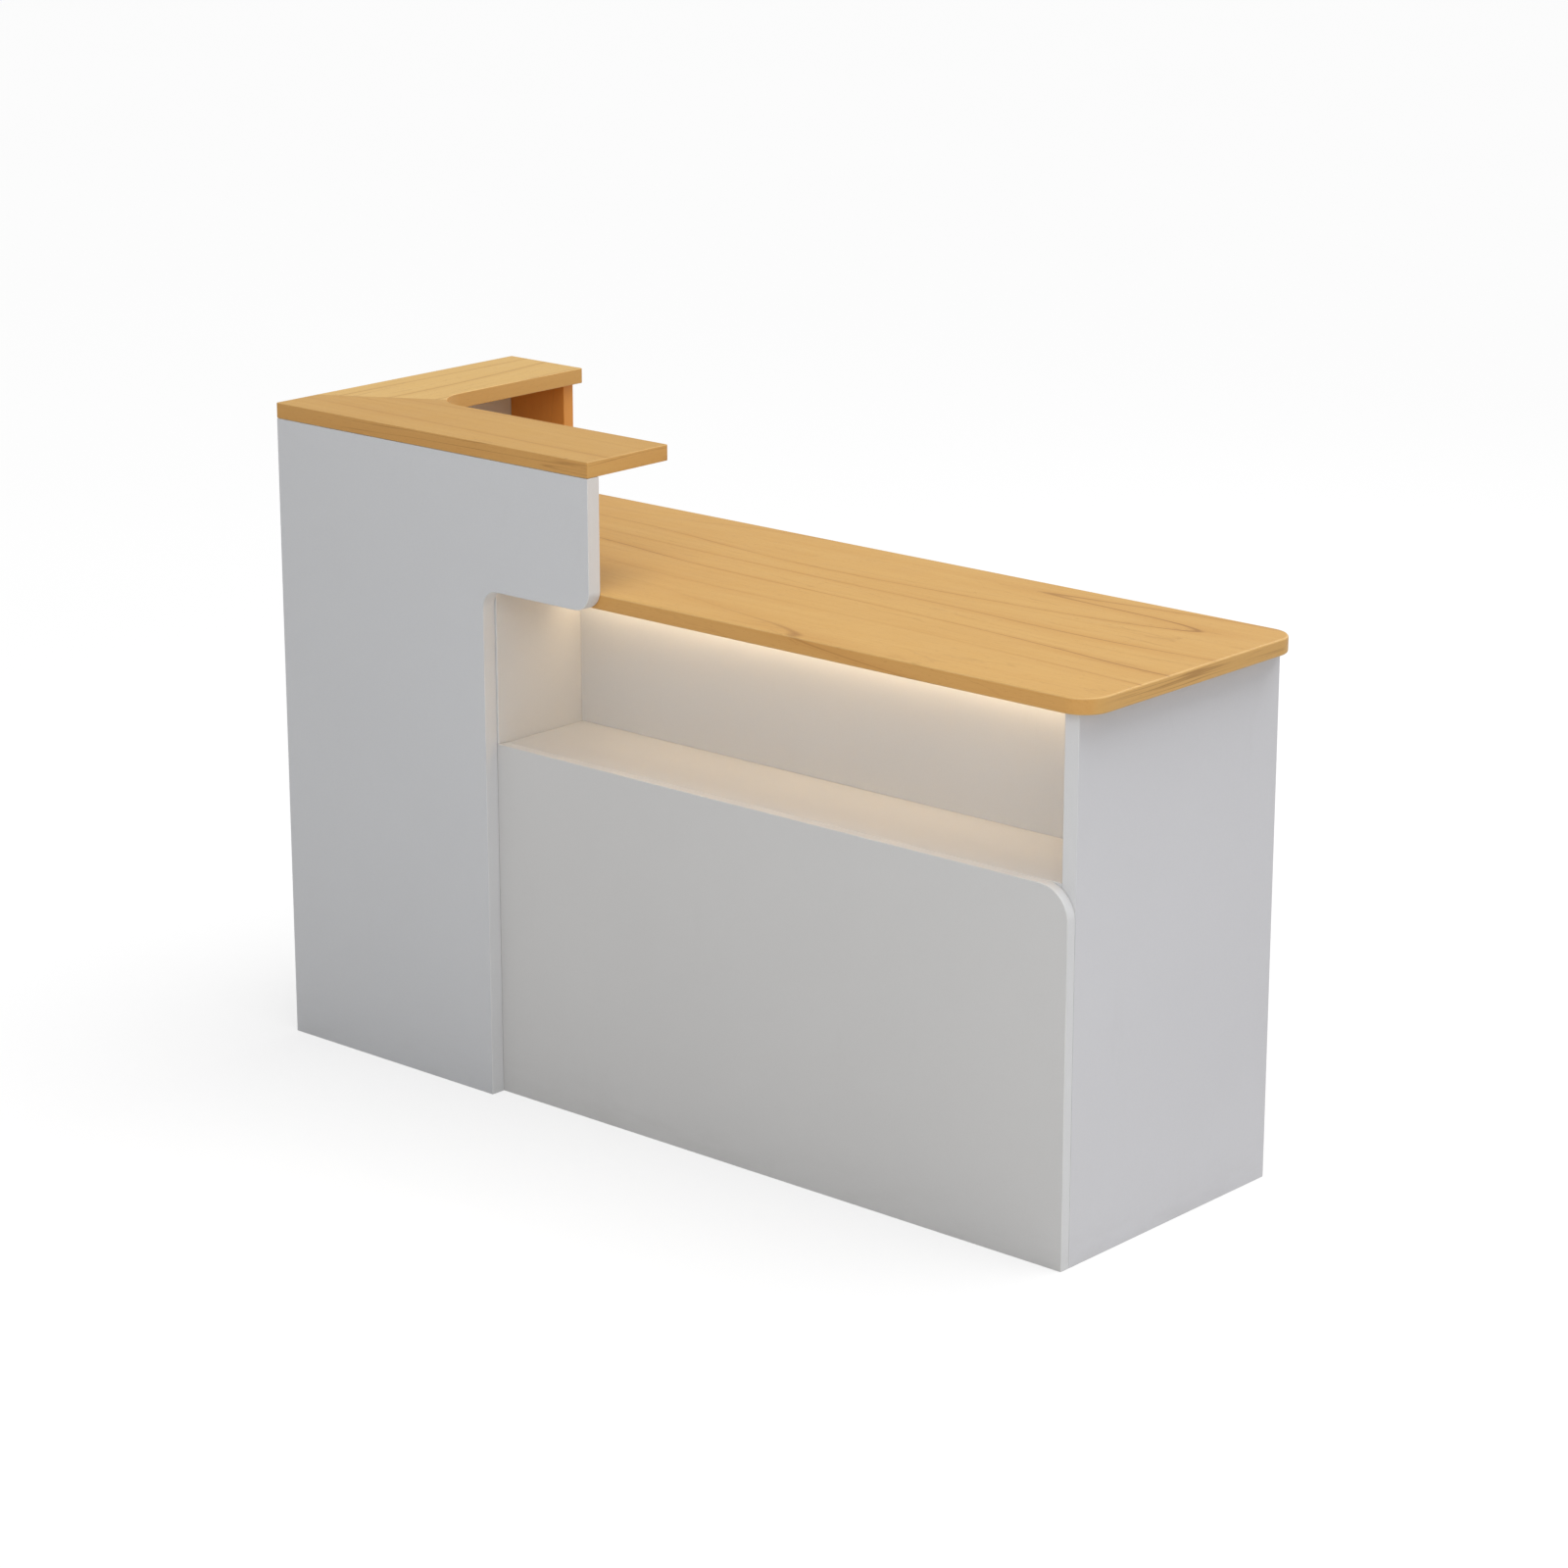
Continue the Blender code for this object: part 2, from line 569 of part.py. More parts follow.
def niche_light():
    """Aluminium channel, light strip and diffuser under the worktop, and their driver."""
    start, end = DIVIDER_RIGHT + CHANNEL_END_GAP, SIDE_IN - CHANNEL_END_GAP
    far = NICHE_WALL - CHANNEL_FROM_WALL
    near = far - CHANNEL_WIDTH
    top = WORK_UNDER - GAP
    low = top - CHANNEL_HEIGHT
    wall = CHANNEL_WALL
    outline("led_channel",
            [(near, low, 0), (near + wall, low, 0), (near + wall, top - wall, 0),
             (far - wall, top - wall, 0), (far - wall, low, 0), (far, low, 0),
             (far, top, 0), (near, top, 0)],
            "X", start, end, ALUMINIUM)
    middle = (near + far) / 2
    strip_high = top - wall - GAP
    box("led_strip", (start + STRIP_END_GAP, middle - STRIP_WIDTH / 2, strip_high - STRIP_T),
        (end - STRIP_END_GAP, middle + STRIP_WIDTH / 2, strip_high), WHITE_PLASTIC)
    box("led_diffuser", (start, near + wall + GAP, low + GAP),
        (end, far - wall - GAP, low + DIFFUSER_HIGH), DIFFUSER)
    length, depth, height = DRIVER_SIZE
    driver_low = DRIVER_HIGH - height
    back = WALL_BACK + GAP
    driver = box("led_driver", (DRIVER_LEFT, back, driver_low),
                 (DRIVER_LEFT + length, back + depth, DRIVER_HIGH), WHITE_PLASTIC, DRIVER_EDGE_R)
    lead_y = back + depth / 2
    inlet_z = driver_low + INLET_HIGH
    cut(driver, box("inlet_pocket",
                    (DRIVER_LEFT - OVERRUN, lead_y - INLET[1] / 2, inlet_z - INLET[2] / 2),
                    (DRIVER_LEFT + INLET[0], lead_y + INLET[1] / 2, inlet_z + INLET[2] / 2)))
    leads(end, middle, lead_y)


def leads(channel_end, channel_y, lead_y):
    """The low-voltage lead to the channel, and the supply lead from the switch."""
    driver_right = DRIVER_LEFT + DRIVER_SIZE[0]
    stub, bend, rise = 0.010, 0.006, 0.012
    side_x = SIDE_IN - LEAD_SIDE_GAP
    tube("led_lead",
         smooth_path([(driver_right + GAP, lead_y, OUTPUT_Z), (driver_right + stub, lead_y, OUTPUT_Z),
                      (side_x - bend, lead_y, OUTPUT_Z + rise),
                      (side_x, lead_y - bend, OUTPUT_Z + 2 * rise),
                      (side_x, WALL_BACK + 0.004, LEAD_Z - 0.001), (side_x, NICHE_WALL, LEAD_Z),
                      (side_x, channel_y + rise, LEAD_Z), (channel_end + 0.001, channel_y, LEAD_Z)]),
         LEAD_R, WHITE_PLASTIC)
    housing_back = FACE - SWITCH_SIZE[1]
    turn = 0.015
    tube("switch_lead",
         smooth_path([(SWITCH_X, housing_back - GAP, LEAD_Z), (SWITCH_X, housing_back - 0.040, LEAD_Z),
                      (SWITCH_X, lead_y + 0.050, LEAD_Z), (SWITCH_X + turn, lead_y + turn, LEAD_Z),
                      (SWITCH_X + 0.050, lead_y, LEAD_Z), (DRIVER_LEFT - 0.060, lead_y, LEAD_Z),
                      (DRIVER_LEFT - 0.032, lead_y, SUPPLY_Z + 0.013),
                      (DRIVER_LEFT - stub, lead_y, SUPPLY_Z), (DRIVER_LEFT - GAP, lead_y, SUPPLY_Z)]),
         LEAD_R, WHITE_PLASTIC)


def rocker_switch():
    """Switch housing with a window on the staff side, and the rocker that tips in it."""
    width, depth, height = SWITCH_SIZE
    high = WORK_UNDER - GAP
    middle_z = high - height / 2
    housing = box("switch_housing", (SWITCH_X - width / 2, FACE - depth, high - height),
                  (SWITCH_X + width / 2, FACE, high), WHITE_PLASTIC, SWITCH_EDGE_R)
    cut(housing, box("switch_window",
                     (SWITCH_X - WINDOW[0] / 2, FACE - WINDOW_DEPTH, middle_z - WINDOW[1] / 2),
                     (SWITCH_X + WINDOW[0] / 2, FACE + OVERRUN, middle_z + WINDOW[1] / 2)))
    axis_y = FACE - ROCKER_AXIS_DEPTH
    half = WINDOW[1] / 2 - ROCKER_GAP - ROCKER_SWING_ROOM
    crown, dip, root = ROCKER_SECTION
    root_half = half * ROCKER_ROOT_SHARE
    rocker = outline("switch_rocker",
                     [(root, -root_half, 0), (dip - ROCKER_LIP, -half, 0), (crown, -half, 0),
                      (dip, 0, 0), (crown, half, 0), (dip - ROCKER_LIP, half, 0),
                      (root, root_half, 0)],
                     "X", -WINDOW[0] / 2 + ROCKER_GAP, WINDOW[0] / 2 - ROCKER_GAP, BLACK_PLASTIC)
    place = Matrix.Translation((SWITCH_X, axis_y, middle_z))
    rocker.matrix_world = place @ Matrix.Rotation(-ROCKER_TILT, 4, "X") @ rocker.matrix_world
    pivot = empty("switch_axis", (SWITCH_X, axis_y, middle_z))
    parent_to(pivot, [rocker])


def runner_profile(wall, side, member, half_height):
    """Channel section in XZ: its web stands off the wall, its lips reach away or back."""
    web, reach = member
    middle = BOX_LOW + RUNNER_CENTRE
    steel = RUNNER_STEEL if reach > web else -RUNNER_STEEL
    section = [(web, half_height), (reach, half_height), (reach, half_height - RUNNER_STEEL),
               (web + steel, half_height - RUNNER_STEEL)]
    section += [(x, -z) for x, z in reversed(section)]
    return [(wall + side * x, middle + z, 0) for x, z in section]


def drawer_runners():
    """Two telescopic runners: cabinet member, middle member and drawer member each."""
    drawer_members, middle_members = [], []
    start = FACE_IN - GAP - BOX_LENGTH
    end = start + RUNNER_LENGTH
    half = RUNNER_HEIGHT / 2
    for name, wall, side in (("left", LEFT_IN, 1), ("right", DIVIDER_LEFT, -1)):
        outer = runner_profile(wall, side, CABINET_MEMBER, half)
        middle = runner_profile(wall, side, MIDDLE_MEMBER, half - RUNNER_STEP)
        inner = runner_profile(wall, side, DRAWER_MEMBER, half - 2 * RUNNER_STEP)
        outline("runner_cabinet_" + name, outer, "Y", start, end, STEEL)
        middle_members.append(outline("runner_middle_" + name, middle, "Y", start, end, STEEL))
        drawer_members.append(outline("runner_drawer_" + name, inner, "Y", start, end, STEEL))
    return drawer_members, middle_members


def bow_handle(name, centre, upright, finish=STEEL):
    """A round bar with two bent legs, standing on a face that looks along +Y."""
    half = HANDLE_SPAN / 2
    path = rounded([(-half, GAP, 0), (-half, HANDLE_REACH, HANDLE_BEND_R),
                    (half, HANDLE_REACH, HANDLE_BEND_R), (half, GAP, 0)], closed=False, steps=8)
    x, y, z = centre
    points = [(x, y + v, z + u) if upright else (x + u, y + v, z) for u, v in path]
    return tube(name, points, HANDLE_R, finish, resolution=6)


def till_drawer():
    """Drawer box, front, handle and lock, on telescopic runners."""
    low = Vector((LEFT_IN + RUNNER_SPACE, FACE_IN - GAP - BOX_LENGTH, BOX_LOW))
    high = Vector((DIVIDER_LEFT - RUNNER_SPACE, FACE_IN - GAP, BOX_HIGH))
    drawer_box = box("till_drawer_box", low, high, WHITE, BOARD_EDGE_R)
    inset = Vector((BOX_WALL, BOX_WALL, BOX_FLOOR))
    cut(drawer_box, box("drawer_hollow", low + inset,
                        high + Vector((-BOX_WALL, -BOX_WALL, BOX_FLOOR))))
    front = box("till_drawer_front", (LEFT_IN + REVEAL, FACE_IN, DECK_TOP + REVEAL),
                (DIVIDER_LEFT - REVEAL, FACE, DRAWER_FRONT_HIGH), WHITE, BOARD_EDGE_R)
    cut(front, cylinder("lock_hole", (LOCK_X, (FACE + FACE_IN) / 2, LOCK_Z),
                        LOCK_BODY_R + GAP, 2 * BOARD_T, "Y"))
    handle = bow_handle("till_drawer_handle", (LOCK_X, FACE, DRAWER_HANDLE_Z), False)

    body_y = (FACE + FACE_IN) / 2 - GAP
    housing = cylinder("lock_housing", (LOCK_X, body_y, LOCK_Z), LOCK_BODY_R,
                       BOARD_T + 2 * GAP, "Y")
    flange = cylinder("lock_flange", (LOCK_X, FACE + GAP + LOCK_FLANGE_T / 2, LOCK_Z),
                      LOCK_FLANGE_R, LOCK_FLANGE_T, "Y")
    neck = cylinder("lock_neck", (LOCK_X, FACE, LOCK_Z), LOCK_NECK_R, LOCK_NECK_LENGTH, "Y")
    join(housing, flange)
    join(housing, neck)
    cut(housing, cylinder("lock_bore", (LOCK_X, body_y, LOCK_Z), LOCK_BORE_R, 2 * BOARD_T, "Y"))

    barrel_start, barrel_end = FACE_IN - LOCK_REACH, FACE + LOCK_NOSE
    barrel = cylinder("lock_barrel", (LOCK_X, (barrel_start + barrel_end) / 2, LOCK_Z),
                      LOCK_BARREL_R, barrel_end - barrel_start, "Y")
    slot_width, slot_height, slot_depth = KEY_SLOT
    cut(barrel, box("key_slot",
                    (LOCK_X - slot_width / 2, barrel_end - slot_depth, LOCK_Z - slot_height / 2),
                    (LOCK_X + slot_width / 2, barrel_end + OVERRUN, LOCK_Z + slot_height / 2)))
    cam_y = barrel_start - GAP
    half = CAM_WIDTH / 2
    cam = outline("lock_cam",
                  [(LOCK_X + half, LOCK_Z - half, half), (LOCK_X + half, LOCK_Z + half, half),
                   (LOCK_X - CAM_LENGTH, LOCK_Z + half, CAM_TIP_R),
                   (LOCK_X - CAM_LENGTH, LOCK_Z - half, CAM_TIP_R)],
                  "Y", cam_y - CAM_T, cam_y, STEEL, steps=5)

    drawer_members, middle_members = drawer_runners()
    slide = empty("till_drawer_slide", (LOCK_X, FACE, DRAWER_HANDLE_Z))
    parent_to(slide, [drawer_box, front, handle, housing] + drawer_members)
    parent_to(empty("runner_middle_slide", (LOCK_X, FACE_IN, DRAWER_HANDLE_Z)), middle_members)
    parent_to(empty("lock_axis", (LOCK_X, FACE, LOCK_Z)), [barrel, cam])


def door_pivot(name, plate_z, edge_z, side):
    """A fixed plate with a collar and a pin that points to the door (+1 up, -1 down)."""
    length, width, thick = PIVOT_PLATE
    low_x = LEFT_IN + PIVOT_PLATE_INSET
    plate = box(name, (low_x, PIVOT_Y - width / 2, min(plate_z, plate_z + side * thick)),
                (low_x + length, PIVOT_Y + width / 2, max(plate_z, plate_z + side * thick)), STEEL)
    base = plate_z + side * thick
    collar_end = edge_z - side * PIVOT_PLAY
    overlap = 0.0005
    join(plate, cylinder(name + "_collar",
                         (PIVOT_X, PIVOT_Y, (base - side * overlap + collar_end) / 2), COLLAR_R,
                         abs(collar_end - base) + overlap))
    pin_end = base + side * PIN_LENGTH
    join(plate, cylinder(name + "_pin", (PIVOT_X, PIVOT_Y, (base - side * overlap + pin_end) / 2),
                         PIN_R, abs(pin_end - base) + overlap))
    return plate


def pivot_bush(name, edge_z, side):
    """A plastic sleeve let into the door's edge."""
    start = edge_z + side * GAP
    middle = start + side * BUSH_LENGTH / 2
    bush = cylinder(name, (PIVOT_X, PIVOT_Y, middle), BUSH_R, BUSH_LENGTH, finish=GREY_PLASTIC)
    return cut(bush, cylinder(name + "_bore", (PIVOT_X, PIVOT_Y, middle), BUSH_BORE_R,
                              2 * BUSH_LENGTH))


def cabinet_door():
    """Inset door that turns on two pins, with its handle, bushes and magnetic catch."""
    door = box("cabinet_door", (PIVOT_X - PIVOT_INSET, FACE_IN, DOOR_LOW),
               (DIVIDER_LEFT - REVEAL, FACE, DOOR_HIGH), WHITE, BOARD_EDGE_R)
    bore_depth = BUSH_LENGTH + BORE_SPARE
    for tag, edge_z, side in (("lower", DOOR_LOW, 1), ("upper", DOOR_HIGH, -1)):
        middle = edge_z + side * (bore_depth - OVERRUN) / 2
        cut(door, cylinder(tag + "_door_bore", (PIVOT_X, PIVOT_Y, middle), DOOR_BORE_R,
                           bore_depth + OVERRUN))
    door_pivot("lower_pivot", BOTTOM_TOP + GAP, DOOR_LOW, 1)
    door_pivot("upper_pivot", DRAWER_DECK_HEIGHT - GAP, DOOR_HIGH, -1)
    bushes = [pivot_bush("lower_bush", DOOR_LOW, 1), pivot_bush("upper_bush", DOOR_HIGH, -1)]
    handle_x = DIVIDER_LEFT - REVEAL - HANDLE_FROM_EDGE
    handle = bow_handle("door_handle", (handle_x, FACE, DOOR_HANDLE_Z), True)
    catch_left, catch_right = (DIVIDER_LEFT - place for place in CATCH_FROM_DIVIDER)
    catch_high = DRAWER_DECK_HEIGHT - GAP
    catch_low = catch_high - CATCH_HEIGHT
    strike_back = FACE_IN - GAP
    strike_face = strike_back - STRIKE_T
    catch_face = strike_face - CATCH_GAP
    box("catch_body", (catch_left, catch_face - CATCH_DEPTH, catch_low),
        (catch_right, catch_face, catch_high), WHITE_PLASTIC, BOARD_EDGE_R)
    strike = box("catch_plate",
                 (catch_left + STRIKE_INSET, strike_face, catch_low - STRIKE_DROP),
                 (catch_right - STRIKE_INSET, strike_back, DOOR_HIGH - STRIKE_INSET), STEEL)
    parent_to(empty("door_axis", (PIVOT_X, PIVOT_Y, DOOR_LOW)), [door, handle, strike] + bushes)


customer_side()
carcass()
adjustable_shelves()
niche_light()
rocker_switch()
till_drawer()
cabinet_door()
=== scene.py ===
import math

import bmesh
import bpy
import numpy as np
from mathutils import Matrix, Vector

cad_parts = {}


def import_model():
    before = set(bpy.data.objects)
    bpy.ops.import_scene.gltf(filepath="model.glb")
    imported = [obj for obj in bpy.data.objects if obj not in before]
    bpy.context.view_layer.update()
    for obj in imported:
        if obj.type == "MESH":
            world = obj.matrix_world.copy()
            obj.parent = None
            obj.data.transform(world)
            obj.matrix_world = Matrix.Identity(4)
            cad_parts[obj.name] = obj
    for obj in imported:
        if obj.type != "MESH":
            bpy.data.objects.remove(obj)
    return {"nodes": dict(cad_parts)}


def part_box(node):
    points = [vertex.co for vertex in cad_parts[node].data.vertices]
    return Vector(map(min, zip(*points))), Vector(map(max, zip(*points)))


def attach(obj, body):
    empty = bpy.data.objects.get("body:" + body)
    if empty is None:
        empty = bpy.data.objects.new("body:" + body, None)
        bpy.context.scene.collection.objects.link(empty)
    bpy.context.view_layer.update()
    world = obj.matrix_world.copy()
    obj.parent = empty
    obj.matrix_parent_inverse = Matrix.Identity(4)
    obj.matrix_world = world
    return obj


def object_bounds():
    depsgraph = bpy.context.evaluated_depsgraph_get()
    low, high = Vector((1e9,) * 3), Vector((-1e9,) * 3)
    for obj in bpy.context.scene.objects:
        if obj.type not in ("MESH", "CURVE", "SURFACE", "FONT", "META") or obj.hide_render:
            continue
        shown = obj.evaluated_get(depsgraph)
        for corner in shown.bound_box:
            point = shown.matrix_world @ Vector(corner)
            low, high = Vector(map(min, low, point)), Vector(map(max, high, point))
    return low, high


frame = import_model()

NODES = frame["nodes"]
CAD_LOW, CAD_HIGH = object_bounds()

# ---------------------------------------------------------------- camera

CAMERA_PLACE = (4.2483, -4.7695, 2.3994)
CAMERA_AZIMUTH = math.radians(41.447)
CAMERA_DOWN = math.radians(16.392)
CAMERA_LENS = 99.39            # mm, on a sensor 36 mm wide
CAMERA_SENSOR = 36.0
CAMERA_REACH = 100.0           # metres that the camera sees

camera_data = bpy.data.cameras.new("camera")
camera_data.lens = CAMERA_LENS
camera_data.sensor_width = CAMERA_SENSOR
camera_data.clip_end = CAMERA_REACH
camera = bpy.data.objects.new("camera", camera_data)
camera.location = CAMERA_PLACE
camera.rotation_euler = (math.pi / 2 - CAMERA_DOWN, 0.0, CAMERA_AZIMUTH)
bpy.context.scene.collection.objects.link(camera)
bpy.context.scene.camera = camera
bpy.context.scene.view_settings.view_transform = "Standard"


# ---------------------------------------------------------------- materials

class Look:
    """A Principled material and short calls that add nodes to it."""

    def __init__(self, name, roughness=0.4, metallic=0.0):
        self.material = bpy.data.materials.new(name)
        self.material.use_nodes = True
        self.tree = self.material.node_tree
        self.shader = self.tree.nodes["Principled BSDF"]
        self.shader.inputs["Roughness"].default_value = roughness
        self.shader.inputs["Metallic"].default_value = metallic
        place = self.tree.nodes.new("ShaderNodeTexCoord")
        self.at = place.outputs["Object"]
        self.normal = place.outputs["Normal"]

    def add(self, kind, values=(), **settings):
        """A node with its settings, and its inputs from numbers, colours or sockets."""
        node = self.tree.nodes.new(kind)
        for key, value in settings.items():
            setattr(node, key, value)
        for key, value in dict(values).items():
            if isinstance(value, bpy.types.NodeSocket):
                self.tree.links.new(value, node.inputs[key])
            else:
                node.inputs[key].default_value = value
        return node

    def math(self, operation, a, b=0.0, clamp=False):
        return self.add("ShaderNodeMath", {0: a, 1: b}, operation=operation,
                        use_clamp=clamp).outputs[0]

    def step(self, value, low, high):
        """0 below low and 1 above high, or the other way round when low is the larger."""
        return self.add("ShaderNodeMapRange", {"Value": value, "From Min": low, "From Max": high},
                        interpolation_type="SMOOTHSTEP").outputs["Result"]

    def span(self, value, low, high):
        """The value, which runs from 0 to 1, spread from low to high and kept there."""
        return self.add("ShaderNodeMapRange", {"Value": value, "To Min": low, "To Max": high}
                        ).outputs["Result"]

    def stretch(self, scale, shift=(0.0, 0.0, 0.0), source=None):
        return self.add("ShaderNodeMapping", {"Vector": source or self.at, "Scale": scale,
                                              "Location": shift}).outputs[0]

    def noise(self, scale, detail=2.0, rough=0.5, source=None):
        return self.add("ShaderNodeTexNoise",
                        {"Vector": source or self.at, "Scale": scale, "Detail": detail,
                         "Roughness": rough}).outputs["Fac"]

    def grained(self, along, fine, coarse, detail, rough, shift):
        """Noise drawn out along an axis: fine and coarse are its scales across and along."""
        scale = [fine, fine, fine]
        scale[AXES[along]] = coarse
        return self.noise(1.0, detail, rough, self.stretch(tuple(scale), shift))

    def parts(self, vector):
        return self.add("ShaderNodeSeparateXYZ", {0: vector}).outputs

    def flat_along(self, axis):
        """1 on faces that look along the axis, and 0 on faces that lie along it."""
        return self.math("ABSOLUTE", self.parts(self.normal)[AXES[axis]])

    def mix(self, share, a, b):
        """Colour a turned into b by the share."""
        node = self.add("ShaderNodeMix", data_type="RGBA")
        for index, value in ((0, share), (6, a), (7, b)):
            if isinstance(value, bpy.types.NodeSocket):
                self.tree.links.new(value, node.inputs[index])
            else:
                node.inputs[index].default_value = value
        return node.outputs[2]

    def shade(self, colour, value):
        """The colour with its brightness times the value."""
        return self.add("ShaderNodeVectorMath", {0: colour, "Scale": value},
                        operation="SCALE").outputs[0]

    def finish(self, colour=None, roughness=None, height=None, depth=0.0002, strength=0.5):
        """Connect the colour, the roughness and a bump to the shader."""
        if colour is not None:
            self.tree.links.new(colour, self.shader.inputs["Base Color"])
        if roughness is not None:
            self.tree.links.new(roughness, self.shader.inputs["Roughness"])
        if height is not None:
            bump = self.add("ShaderNodeBump", {"Height": height, "Strength": strength,
                                               "Distance": depth})
            self.tree.links.new(bump.outputs[0], self.shader.inputs["Normal"])
        return self.material


def rgb(red, green, blue):
    return (red, green, blue, 1.0)


AXES = {"X": 0, "Y": 1, "Z": 2}
SAME = (1.0, 1.0, 1.0)
BOARD = (0.645, 0.645, 0.650)
BOARD_BAND = rgb(0.690, 0.690, 0.695)
BOARD_WORN = rgb(0.80, 0.79, 0.77)
BOARD_GRIME = rgb(0.40, 0.38, 0.35)
SCUFF_HEIGHT = 0.085           # above the floor, where feet and mops reach


def board_look(name, axis, seed, floor_wear=False, tint_and_glow=SAME):
    """Melamine-faced board whose faces look along the axis, with a smooth edge band round it."""
    look = Look(name)
    flat = look.flat_along(axis)
    band = look.step(flat, 0.45, 0.15)
    arris = look.math("MULTIPLY", look.step(flat, 0.995, 0.90), look.step(flat, 0.05, 0.25))
    shifted = look.stretch(SAME, (seed * 1.7, seed * 0.9, seed * 2.3))
    cloud = look.noise(1.8, 3.0, 0.55, shifted)
    speck = look.noise(520.0, 2.0, 0.6, shifted)
    marks = look.noise(14.0, 5.0, 0.7, look.stretch((1.0, 1.0, 0.35), (seed, 0.0, 0.0)))
    # For the niche's wall and divider this tint is lighter and warmer: painted glow of the niche
    # lamp.
    face = rgb(*(board * share for board, share in zip(BOARD, tint_and_glow)))
    colour = look.mix(band, face, BOARD_BAND)
    tone = look.math("ADD", look.span(cloud, 0.965, 1.035), look.span(speck, -0.03, 0.03))
    colour = look.shade(colour, tone)
    worn = look.math("MULTIPLY", arris, look.step(marks, 0.40, 0.62))
    colour = look.mix(look.math("MULTIPLY", worn, 0.5), colour, BOARD_WORN)
    smudge = look.math("MULTIPLY", look.step(marks, 0.58, 0.80), 0.05)
    if floor_wear:
        height = look.parts(look.at)[2]
        rubbed = look.noise(9.0, 5.0, 0.7, look.stretch((1.0, 1.0, 3.0), (seed, 4.0, 0.0)))
        low_down = look.step(height, SCUFF_HEIGHT, 0.0)
        scuffs = look.math("MULTIPLY", low_down, look.step(rubbed, 0.42, 0.66))
        smudge = look.math("ADD", smudge, look.math("MULTIPLY", scuffs, 0.09))
    colour = look.mix(smudge, colour, BOARD_GRIME)
    gloss = look.math("ADD", look.span(marks, 0.34, 0.50), look.math("MULTIPLY", band, -0.06))
    pearl = look.noise(1500.0, 1.0, 0.5, shifted)
    skin = look.math("ADD", look.math("MULTIPLY", pearl, look.math("SUBTRACT", 1.0, band)),
                     look.math("MULTIPLY", look.noise(70.0, 1.0, 0.4, shifted), 1.5))
    look.shader.inputs["Specular IOR Level"].default_value = 0.42
    return look.finish(colour, gloss, skin, depth=0.00012, strength=0.35)


BEECH_LIGHT = rgb(0.590, 0.350, 0.105)
BEECH_DARK = rgb(0.480, 0.240, 0.055)
BEECH_LINE = rgb(0.250, 0.100, 0.020)
BEECH_WING = rgb(0.690, 0.445, 0.155)
BEECH_SIDE_SHADE = rgb(0.700, 0.330, 0.090)
BEECH_END = rgb(0.720, 0.420, 0.150)
BEECH_WORN_AND_HIGHLIGHT = rgb(0.780, 0.560, 0.280)
TOP_LIGHT = rgb(0.640, 0.385, 0.122)
TOP_DARK = rgb(0.520, 0.262, 0.062)
# The wing's end panel is the same beech in a deeper, redder orange: painted shade and bounce
# light.
SHADED_END_LIGHT = rgb(0.740, 0.305, 0.055)
SHADED_END_DARK = rgb(0.620, 0.215, 0.032)
SHADED_END_LINE = rgb(0.340, 0.100, 0.016)
GRAIN_STRETCH = 0.11           # the pattern's scale along the grain, against 1 across it
RINGS_PER_METRE = 11.0
RING_SWAY = 9.0                # how many rings wide the grain wanders
THIN_LINES = 3.0               # thin lines for each ring


def beech_pattern(look, along, seed, light, dark, line):
    """Colour and height of plain-sawn beech whose grain runs along X, Y or Z."""
    scale = [1.0, 1.0, 1.0]
    scale[AXES[along]] = GRAIN_STRETCH
    across = [AXES[axis] for axis in "XYZ" if axis != along]
    shift = (seed * 3.1, seed * 1.3, seed * 0.7)
    long_way = look.stretch(tuple(scale), shift)
    sway = look.noise(3.2, 2.0, 0.45, long_way)
    fine = look.noise(34.0, 4.0, 0.6, long_way)
    fibre = look.grained(along, 260.0, 7.0, 3.0, 0.65, shift)
    fleck = look.grained(along, 700.0, 90.0, 1.0, 0.4, shift)
    place = look.parts(look.at)
    width = look.math("ADD", place[across[0]], look.math("MULTIPLY", place[across[1]], 0.6))
    rings = look.math("ADD", look.math("MULTIPLY", width, RINGS_PER_METRE),
                      look.math("MULTIPLY", sway, RING_SWAY))
    wave = look.math("ABSOLUTE", look.math("SINE", look.math("MULTIPLY", rings, math.pi)))
    ring_edge = look.step(wave, 0.070, 0.0)
    ring_side = look.step(wave, 0.60, 0.03)
    between = look.math("MULTIPLY", look.math("ADD", look.math("MULTIPLY", rings, THIN_LINES),
                                              look.span(fine, -0.9, 0.9)), math.pi)
    thin = look.step(look.math("ABSOLUTE", look.math("SINE", between)), 0.14, 0.0)
    patches = look.noise(4.2, 2.0, 0.5, look.stretch(tuple(scale), (seed, 5.0, 2.0)))
    strength = look.step(patches, 0.40, 0.62)
    share = look.math("ADD", look.span(fine, -0.10, 0.55), look.span(fibre, -0.22, 0.30))
    share = look.math("ADD", share, look.math("MULTIPLY", ring_side,
                                              look.span(strength, 0.08, 0.26)), clamp=True)
    colour = look.mix(share, light, dark)
    lines = look.math("MULTIPLY", ring_edge, look.span(strength, 0.12, 0.85))
    lines = look.math("MAXIMUM", lines, look.math("MULTIPLY", thin,
                                                  look.span(strength, 0.05, 0.30)))
    lines = look.math("MULTIPLY", lines, look.span(fibre, 0.5, 1.0))
    colour = look.mix(lines, colour, line)
    colour = look.mix(look.math("MULTIPLY", look.step(fleck, 0.64, 0.74), 0.22), colour, line)
    height = look.math("ADD", look.math("MULTIPLY", fibre, 0.7),
                       look.math("MULTIPLY", look.step(fleck, 0.74, 0.64), 0.5))
    return colour, height


